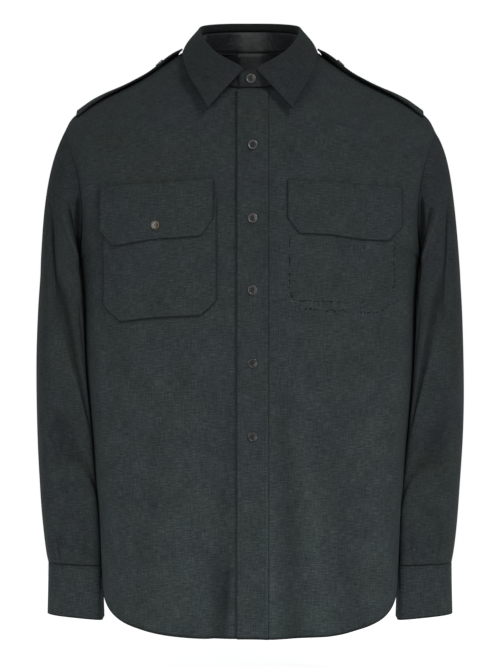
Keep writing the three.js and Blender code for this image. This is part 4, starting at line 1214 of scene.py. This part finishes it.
class SHIRT_OT_sleeves(bpy.types.Operator):
    """Makes the sleeves with their creases, the cuffs and the bands over the sleeve slits"""
    bl_idname = "shirt.sleeves"
    bl_label = "Sleeves and cuffs"

    def execute(self, context):
        for name, side in SIDES:
            core = sleeve_core(side)
            grid, folds = sleeve_grid(side)
            sleeve = shell(f"sleeve_{name}", wall([grid], core, folds=[folds]), "wool_sleeve")
            cuff = shell(f"cuff_{name}", wall([cuff_grid(side)], core, thick=BAND), "wool_cuff")
            band = shell(f"sleeve_placket_{name}",
                         wall([sleeve_placket_grid(side)], core, lift=CLOTH + SLIT_BAND_GAP), "wool_band")
        return {"FINISHED"}


class SHIRT_OT_placket(bpy.types.Operator):
    """Makes the band with the buttonholes down the front"""
    bl_idname = "shirt.placket"
    bl_label = "Front band"

    def execute(self, context):
        rows = fine_rows(NECK_END["front"], LAST_ROW["front"])
        x = np.linspace(PLACKET_FROM, PLACKET_TO, 29)[None]
        grid = body_point("front", rows[:, None] + 0 * x, x + 0 * rows[:, None])
        across = (grid[..., 0] - PLACKET_FROM) / (PLACKET_TO - PLACKET_FROM)
        for middle, width, height in BAND_PUFFS:
            grid[..., 1] -= height * np.exp(-((across - middle) / width) ** 2)
        band = panel_shell("placket", "front", [grid], "wool_band", CLOTH + LAYER)
        return {"FINISHED"}


class SHIRT_OT_pockets(bpy.types.Operator):
    """Makes the right pocket and both flaps"""
    bl_idname = "shirt.pockets"
    bl_label = "Pocket and flaps"

    def execute(self, context):
        for name, thick, lift, flat, under in (
            ("pocket_right", CLOTH, PATCH_GAP + CLOTH, (0.147, 0.15), "shirt_front_right"),
            ("flap_right", BAND, 2 * PATCH_GAP + CLOTH + BAND, (0.147, 0.078), "shirt_front_right"),
            ("flap_left", BAND, PATCH_GAP + BAND, (0.147, 0.078), "shirt_front_left"),
        ):
            patch = wall([patch_grid(PATCHES[name])], front_core, thick=thick, lift=lift)
            piece = shell(name, patch, "wool_band")
        return {"FINISHED"}


class SHIRT_OT_collar(bpy.types.Operator):
    """Makes the collar stand and the turned-down collar"""
    bl_idname = "shirt.collar"
    bl_label = "Collar"

    def execute(self, context):
        stand = wall([stand_grid()], neck_core, thick=BAND, lift=STAND_LIFT)
        stand = shell("collar_stand", stand, "wool_collar", inside=material("lining"))
        fall = shell("collar_fall", wall([collar_fall_grid()], neck_core, thick=BAND), "wool_collar")
        return {"FINISHED"}


class SHIRT_OT_straps(bpy.types.Operator):
    """Makes the two shoulder straps"""
    bl_idname = "shirt.straps"
    bl_label = "Shoulder straps"

    def execute(self, context):
        for name, side in SIDES:
            strap = wall([strap_grid(side)], strap_core, thick=STRAP)
            piece = shell(f"epaulette_{name}", strap, "wool_band")
        return {"FINISHED"}


# Buttons

# Shares of a button's radius: how far out its holes are, how wide, and where its rim begins
HOLE_REACH, HOLE_RADIUS, RIM_FROM = 0.27, 0.13, 0.75


def sink_middle(share, radius, drop):
    """Insets the picked face by a share of the radius, and lowers it by drop."""
    bpy.ops.mesh.inset(thickness=radius * share)
    bpy.ops.transform.translate(value=(0, 0, -drop))


def drill_hole(button, radius, thickness, angle):
    """Drills one thread hole through a button at an angle round its middle."""
    reach = radius * HOLE_REACH
    spot = (reach * math.cos(angle), reach * math.sin(angle), thickness / 2)
    bpy.ops.mesh.primitive_cylinder_add(vertices=16, radius=radius * HOLE_RADIUS, depth=thickness * 2,
                                        location=spot)
    drill = bpy.context.object
    cut = button.modifiers.new("hole", "BOOLEAN")
    cut.operation = "DIFFERENCE"
    cut.object = drill
    cut.solver = "EXACT"
    bpy.context.view_layer.objects.active = button
    bpy.ops.object.modifier_apply(modifier="hole")
    bpy.data.objects.remove(drill)


def model_button(radius, thickness):
    """The mesh of a four-hole button with a raised rim, lying at the origin with its face up."""
    bpy.ops.object.select_all(action="DESELECT")
    bpy.ops.mesh.primitive_cylinder_add(vertices=56, radius=radius, depth=thickness,
                                        location=(0, 0, thickness / 2))
    button = bpy.context.object
    bpy.ops.object.transform_apply(location=True, rotation=True, scale=True)
    bpy.ops.object.mode_set(mode="EDIT")
    bpy.ops.mesh.select_mode(type="FACE")
    bpy.ops.mesh.select_all(action="DESELECT")
    mesh = bmesh.from_edit_mesh(button.data)
    for face in mesh.faces:
        face.select_set(face.normal.z > 0.9)
    bmesh.update_edit_mesh(button.data)
    bpy.ops.mesh.inset(thickness=radius * 0.2)
    sink_middle(0.14, radius, thickness * 0.38)
    sink_middle(0.3, radius, thickness * 0.06)
    bpy.ops.mesh.select_all(action="DESELECT")
    mesh = bmesh.from_edit_mesh(button.data)
    for edge in mesh.edges:
        outer = all(corner.co.xy.length > radius * RIM_FROM for corner in edge.verts)
        level = abs(edge.verts[0].co.z - edge.verts[1].co.z) < thickness * 0.01
        edge.select_set(outer and level)
    bmesh.update_edit_mesh(button.data)
    bpy.ops.mesh.bevel(offset=thickness * 0.22, segments=3, affect="EDGES")
    bpy.ops.object.mode_set(mode="OBJECT")
    for turn in (45, 135, 225, 315):
        drill_hole(button, radius, thickness, math.radians(turn))
    bpy.ops.object.select_all(action="DESELECT")
    button.select_set(True)
    bpy.ops.object.shade_smooth_by_angle(angle=math.radians(35))
    mesh = button.data.copy()
    bpy.data.objects.remove(button)
    out = np.array([math.hypot(v.co.x, v.co.y) / radius for v in mesh.vertices])
    # Share of the rim at each point, for the painted highlight
    mark_points(mesh, "rim", smooth((out - 0.6) / 0.2))
    return mesh


def seat_of(name):
    """Where a CAD button lies: its middle, and the three directions of its face and axis."""
    co = np.array([v.co for v in frame["nodes"][name].data.vertices])
    middle = (co.min(0) + co.max(0)) / 2
    axis = np.linalg.eigh(np.cov((co - co.mean(0)).T))[1][:, 0]
    away = middle - np.array([0, 0, middle[2] - (0.1 if "epaulette" in name else 0)])
    if "cuff" in name:
        away = middle - np.array([CUFF_CORE_X * MM * np.sign(middle[0]), 0, middle[2]])
    axis = axis if axis @ away > 0 else -axis
    up = np.array([0, 0, 1.0]) if abs(axis[2]) < 0.8 else np.array([0, 1.0, 0])
    across = unit(np.cross(up, axis))
    return middle, across, np.cross(axis, across), axis


# Painted highlight: the lower front buttons get a weaker painted highlight on their rims
RIM_HIGHLIGHT = {"button_front_3": 0.7, "button_front_4": 0.45, "button_front_5": 0.4}
BUTTONS = ["button_collar"] + [f"button_front_{i}" for i in range(1, 6)] + ["button_pocket"] + [
    f"button_{place}_{side}" for place in ("epaulette", "cuff") for side in ("left", "right")]
# Three threads lie side by side; shares of the radius and thickness say where, and how long they are
THREADS_ABREAST, THREAD_OFF, THREAD_UP, THREAD_LONG = (-0.22, 0, 0.22), 0.19, 0.62, 0.62


class SHIRT_OT_buttons(bpy.types.Operator):
    """Makes the horn buttons and the threads that hold them"""
    bl_idname = "shirt.buttons"
    bl_label = "Buttons"

    def execute(self, context):
        sizes = context.scene.shirt_buttons
        thick = sizes.button_thickness
        models = {r: model_button(r, thick) for r in (sizes.button_radius, sizes.pocket_button_radius)}
        threads = []
        for i, name in enumerate(BUTTONS):
            horn = "tan_horn" if name == "button_pocket" else "smoky_horn"
            radius = sizes.pocket_button_radius if name == "button_pocket" else sizes.button_radius
            middle, across, along, axis = seat_of(name)
            turned = math.radians((17 * i) % 45 - 20)
            x = across * math.cos(turned) + along * math.sin(turned)
            y = np.cross(axis, x)
            base = middle - axis * thick / 2
            mesh = models[radius].copy()
            mesh.name = f"shirt_{name}"
            co = np.array([v.co for v in mesh.vertices])
            mesh.vertices.foreach_set("co", (base + co @ np.array([x, y, axis])).ravel())
            # Painted highlight: some buttons get a weaker highlight on the rim
            for place in mesh.attributes["rim"].data:
                place.value *= RIM_HIGHLIGHT.get(name, 1)
            mesh.materials.clear()
            mesh.materials.append(material(horn))
            mesh.update()
            obj = bpy.data.objects.new(f"shirt_{name}", mesh)
            context.scene.collection.objects.link(obj)
            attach(obj, "root")
            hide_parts(name)
            for k in (-1, 1):
                for beside in THREADS_ABREAST:
                    off = radius * THREAD_OFF * k + beside * MM
                    spot = base + y * off + axis * thick * THREAD_UP
                    run = radius * THREAD_LONG / MM
                    threads.append(stitches(spot[None] / MM, axis[None], x[None], run, 0.2))
        thread_piece("shirt_button_threads", threads, material("thread"))
        return {"FINISHED"}


# Sewing

def inset_line(outline, inset, top=False):
    """The sides and foot of a patch, or its top edge, moved in by inset."""
    x, high, low = outline["x"], outline["top"], outline["bottom"]
    if top:
        across = np.linspace(x[0] + EDGE_ROW, x[-1] - EDGE_ROW, 40)
        return across, np.interp(across, x, high) - inset
    line = np.array([[x[0], high[0]], *zip(x, low), [x[-1], high[-1]]])
    ahead = unit(np.diff(line, axis=0))
    normal = np.stack([-ahead[:, 1], ahead[:, 0]], -1)
    joined = unit(np.concatenate([normal[:1], normal[:-1] + normal[1:], normal[-1:]]))
    reach = 1 / np.maximum(np.sum(joined * np.concatenate([normal[:1], normal]), -1), 0.5)
    line = line + joined * (inset * reach)[:, None]
    steps = np.linspace(0, len(line) - 1, (len(line) - 1) * 12 + 1)
    index = np.arange(len(line))
    return np.interp(steps, index, line[:, 0]), np.interp(steps, index, line[:, 1])


# Distances of the rows of stitches from the edges, in millimetres
EDGE_ROW, FLAP_ROW, SECOND_ROW, POCKET_ROW, ARMHOLE_ROW = 1.6, 1.8, 5, 5.4, 2.4
BAND_ROWS_X, BAND_ROWS_Z = (-10.6, 17.2), (-48, -716)
# The same in rows of the body's table
HEM_ROW, NECK_ROW, YOKE_ROWS = 0.17, 0.22, (0.16, 0.5)
# A buttonhole: half its length, how far its stitches stand to each side, their length and radius
HOLE_HALF, HOLE_SIDE, HOLE_STITCH, HOLE_THREAD = 7.6, 0.75, 1.2, 0.22


class SHIRT_OT_sewing(bpy.types.Operator):
    """Sews the visible rows of stitches and the buttonholes"""
    bl_idname = "shirt.sewing"
    bl_label = "Sewing"

    def execute(self, context):
        sizes = context.scene.shirt_sewing
        piece = {o.name[6:]: o for o in bpy.data.objects if o.name.startswith("shirt_")}
        thread = material("thread")
        for name, rows in (("front", self.front_rows), ("body", self.body_rows), ("bands", self.band_rows)):
            sew(f"shirt_stitches_{name}", [(piece[owner], line) for owner, line in rows()], thread, sizes)
        self.buttonholes(piece, thread)
        return {"FINISHED"}

    def front_rows(self):
        """Down the front band, and round the pocket and the flaps."""
        z = np.linspace(*BAND_ROWS_Z, 160)
        rows = [("placket", front_at(x + 0 * z, z, 3)) for x in BAND_ROWS_X]
        for name, inset in (("pocket_right", EDGE_ROW), ("pocket_right", POCKET_ROW),
                            ("flap_right", FLAP_ROW), ("flap_left", FLAP_ROW)):
            rows.append((name, front_at(*inset_line(PATCHES[name], inset), 4)))
        for name in ("flap_right", "flap_left"):
            for inset in (EDGE_ROW, SECOND_ROW):
                rows.append((name, front_at(*inset_line(PATCHES[name], inset, top=True), 4)))
        return rows

    def body_rows(self):
        """Along hem and armholes, above the yoke's seam and beside the collar."""
        rows = []
        for face, name, side in (("front", "front_left", 1), ("front", "front_right", -1),
                                 ("back", "back", 1), ("back", "back", -1)):
            v = LAST_ROW[face] - HEM_ROW
            outX = body_row(face, np.array([v]))["outer"][0, 0]
            x = np.linspace(0 if face == "back" else 24, outX * 0.995, 140)
            rows.append((name, body_point(face, v + 0 * x, side * x)))
            spans = [(name, 0.2, UNDERARM_ROW[face])]
            if face == "back":
                spans = [(name, YOKE_SEAM_ROW, UNDERARM_ROW[face]), ("yoke", 0.2, YOKE_SEAM_ROW)]
            for owner, low, high in spans:
                v = np.linspace(low, high, 90)
                edge = body_row(face, v)["outer"][:, 0] - ARMHOLE_ROW
                rows.append((owner, body_point(face, v, side * edge)))
        across = np.linspace(-1, 1, 160)
        for up in YOKE_ROWS:
            v = YOKE_SEAM_ROW - up
            width = body_row("back", np.array([v]))["outer"][0, 0] * 0.985
            rows.append(("yoke", body_point("back", v + 0 * across, across * width)))
        row = body_row("back", np.array([NECK_ROW]))
        x = mix(row["inX"][0], row["outer"][0, 0], np.linspace(0.02, 0.98, 60))
        return rows + [("yoke", body_point("back", NECK_ROW + 0 * x, side * x)) for side in (1, -1)]

    def band_rows(self):
        """Round collar, stand, cuffs, shoulder straps and sleeve bands."""
        leaf = collar_fall_grid()
        rows = [("collar_fall", line) for line in (leaf[-6], leaf[6:-5, 4], leaf[6:-5, -5])]
        rows.append(("collar_stand", stand_grid()[1]))
        for name, side in SIDES:
            cuff, strap, slit = cuff_grid(side), strap_grid(side), sleeve_placket_grid(side)
            rows += [(f"cuff_{name}", line) for line in (cuff[1], cuff[-3], cuff[:, 2])]
            loop = np.concatenate([strap[::-1, 1], strap[1, 2:-2], strap[:, -2]])
            rows.append((f"epaulette_{name}", loop))
            rows += [(f"sleeve_placket_{name}", line) for line in (slit[:, 1], slit[:, -2])]
        return rows

    def buttonholes(self, piece, thread):
        """Bound slits: close side stitches round each buttonhole, standing across its line."""
        holes = [("placket", front_at(BUTTON_X, float(z) - 1), (0, 0, 1)) for z in FRONT_BUTTONS_Z]
        holes.append(("collar_stand", np.array([-1.5, -101.0, -32.0]), (1, 0, 0)))
        holes.append(("flap_right", front_at(-114.5, -212.5), (0, 0, 1)))
        parts = []
        for name, middle, line in holes:
            line = np.array(line, float)
            spots = middle + np.linspace(-HOLE_HALF, HOLE_HALF, 34)[:, None] * line
            for side in (-1, 1):
                places, facing = laid_on(piece[name], spots)
                across = np.cross(facing, line)
                places = places + across * HOLE_SIDE * side
                parts.append(stitches(places, facing, across, HOLE_STITCH, HOLE_THREAD))
        thread_piece("shirt_buttonholes", parts, thread)


# Thread ends where the left pocket was taken off: the two ends of each run, and how ragged it is
OLD_THREADS = table("x0 z0 x1 z1 ragged", [
    [48.4, -226, 48.2, -240, 0.4], [48.2, -252, 48.6, -266, 0.5], [48.4, -272, 48.2, -292, 0.5],
    [49, -294, 55, -306, 1.6], [55, -306, 61, -318, 1.6], [62, -316, 84, -316.5, 0.6],
    [92, -317, 124, -319.5, 0.9], [136, -315, 136.4, -322, 0.4], [140, -320.5, 157, -320, 0.6],
    [160, -319.5, 170, -314, 1.0], [171, -313, 182, -305, 1.0], [177.6, -234, 177.8, -252, 0.5],
    [178, -258, 178.2, -286, 0.7], [178, -286, 180, -300, 1.8], [58, -305.5, 86, -307, 0.4],
    [88, -306.5, 113, -308, 0.4],
])


class SHIRT_OT_pocket_marks(bpy.types.Operator):
    """Lays the thread ends and pale specks that were left where the left pocket was taken off"""
    bl_idname = "shirt.pocket_marks"
    bl_label = "Marks of the lost pocket"

    def execute(self, context):
        radius = context.scene.shirt_sewing.thread_radius / MM
        front = bpy.data.objects["shirt_front_left"]
        rng = np.random.default_rng(7)
        # The old thread ends are real thread, and their near-black colour is also painted shade of the
        # needle holes
        for name, key, pitch, longest, thick in (("shirt_old_threads", "old_thread", 2.2, 4.2, 2.2),
                                                 ("shirt_pale_specks", "pale_thread", 7.5, 1.9, 1.8)):
            parts = []
            for x0, z0, x1, z1, ragged in zip(*OLD_THREADS.values()):
                run = math.hypot(x1 - x0, z1 - z0)
                n = max(int(run / pitch), 1)
                t = (np.arange(n) + rng.uniform(-0.4, 0.4, n) + 0.5) / n
                x = mix(x0, x1, t) + rng.normal(0, 0.2 + ragged * 0.5, n)
                z = mix(z0, z1, t) + rng.normal(0, 0.2 + ragged * 0.5, n)
                places, facing = laid_on(front, front_at(x, z, 1))
                way = np.tile([x1 - x0, 0, z1 - z0], (n, 1)) / run
                way = way + rng.normal(0, 0.35 + 0.45 * ragged, (n, 3))
                size = rng.uniform(1.1, longest, n)
                for k in range(n):
                    spot = places[k:k + 1] + facing[k:k + 1] * rng.uniform(-0.1, 0.15)
                    parts.append(stitches(spot, facing[k:k + 1], way[k:k + 1], size[k], radius * thick))
            thread_piece(name, parts, material(key))
        return {"FINISHED"}


# Stage

LOOK_AT = Vector((0, 0, -0.35))
KEY_PLACE, KEY_SIZE = (1.3, -2.3, 1.5), 0.9
FILL_PLACE, FILL_SIZE = (-1.2, -3.1, -0.1), 1.4


class SHIRT_OT_stage(bpy.types.Operator):
    """Makes the floor, the soft lights and the camera"""
    bl_idname = "shirt.stage"
    bl_label = "Stage"

    def execute(self, context):
        stage = context.scene.shirt_stage
        self.floor(stage.floor_z)
        self.surround(context.scene, stage.surround)
        self.light("key_light", KEY_PLACE, stage.key, KEY_SIZE)
        self.light("fill_light", FILL_PLACE, stage.fill, FILL_SIZE)
        data = bpy.data.cameras.new("photo_camera")
        data.lens = stage.lens
        data.sensor_width = 36
        camera = bpy.data.objects.new("photo_camera", data)
        camera.location = (0, -stage.camera_distance, stage.camera_height)
        camera.rotation_euler = (math.pi / 2, 0, 0)
        context.scene.collection.objects.link(camera)
        context.scene.camera = camera
        context.scene.view_settings.view_transform = "Standard"
        return {"FINISHED"}

    def floor(self, height):
        """A pale floor that glows a little, more behind the shirt than before it."""
        bpy.ops.object.select_all(action="DESELECT")
        bpy.ops.mesh.primitive_circle_add(vertices=96, radius=1.7, fill_type="NGON",
                                          location=(0, 0, height))
        floor = bpy.context.object
        floor.name = "studio_floor"
        bpy.ops.object.transform_apply(location=True)
        made, tree, shader = new_material("pale_floor", Roughness=0.9, Emission_Color=(1, 1, 1, 1))
        place = object_place(tree)
        clouds = tones(tree, noise(tree, place, 3, 2), [(0.3, (0.9, 0.9, 0.9)), (0.7, (0.93, 0.93, 0.93))])
        tree.links.new(clouds, shader.inputs["Base Color"])
        behind = (split(tree, place)[1] + 0.15) * 1.9
        behind.most(0.75).least(0.12).to(shader.inputs["Emission Strength"])
        floor.data.materials.append(made)

    def light(self, name, place, power, size):
        """A square soft light that faces the shirt."""
        data = bpy.data.lights.new(name, "AREA")
        data.size = size
        data.energy = power
        light = bpy.data.objects.new(name, data)
        light.location = place
        light.rotation_euler = (LOOK_AT - Vector(place)).to_track_quat("-Z", "Y").to_euler()
        bpy.context.scene.collection.objects.link(light)

    def surround(self, scene, strength):
        """White all round: seen at full white, and lighting the shirt with the given strength."""
        world = bpy.data.worlds.new("studio")
        world.use_nodes = True
        tree = world.node_tree
        tree.nodes.clear()
        seen = node(tree, "ShaderNodeBackground", Color=(1, 1, 1, 1), Strength=1.0)
        lit = node(tree, "ShaderNodeBackground", Color=(0.97, 0.99, 1, 1), Strength=strength)
        path = tree.nodes.new("ShaderNodeLightPath")
        both = tree.nodes.new("ShaderNodeMixShader")
        out = tree.nodes.new("ShaderNodeOutputWorld")
        tree.links.new(path.outputs["Is Camera Ray"], both.inputs[0])
        tree.links.new(lit.outputs[0], both.inputs[1])
        tree.links.new(seen.outputs[0], both.inputs[2])
        tree.links.new(both.outputs[0], out.inputs["Surface"])
        scene.world = world


STEPS_IN_ORDER = ("body", "sleeves", "placket", "pockets", "collar", "straps", "buttons", "sewing",
                  "pocket_marks", "stage")
SETTINGS = {"shirt_cloth": ShirtCloth, "shirt_sewing": ShirtSewing, "shirt_buttons": ShirtButtons,
            "shirt_stage": ShirtStage}


class SHIRT_PT_panel(bpy.types.Panel):
    """Lists the shirt's pieces and settings"""
    bl_idname = "SHIRT_PT_panel"
    bl_label = "Shirt"
    bl_space_type = "VIEW_3D"
    bl_region_type = "UI"
    bl_category = "Shirt"

    def draw(self, context):
        for step in STEPS_IN_ORDER:
            self.layout.operator(f"shirt.{step}")
        for key, group in SETTINGS.items():
            for name in group.__annotations__:
                self.layout.prop(getattr(context.scene, key), name)


CLASSES = (ShirtCloth, ShirtSewing, ShirtButtons, ShirtStage, SHIRT_OT_body, SHIRT_OT_sleeves,
           SHIRT_OT_placket, SHIRT_OT_pockets, SHIRT_OT_collar, SHIRT_OT_straps, SHIRT_OT_buttons,
           SHIRT_OT_sewing, SHIRT_OT_pocket_marks, SHIRT_OT_stage, SHIRT_PT_panel)


def register():
    for cls in CLASSES:
        bpy.utils.register_class(cls)
    for key, group in SETTINGS.items():
        setattr(bpy.types.Scene, key, PointerProperty(type=group))


def unregister():
    for key in SETTINGS:
        delattr(bpy.types.Scene, key)
    for cls in reversed(CLASSES):
        bpy.utils.unregister_class(cls)


def main():
    register()
    for step in STEPS_IN_ORDER:
        getattr(bpy.ops.shirt, step)()


if __name__ == "__main__":
    main()
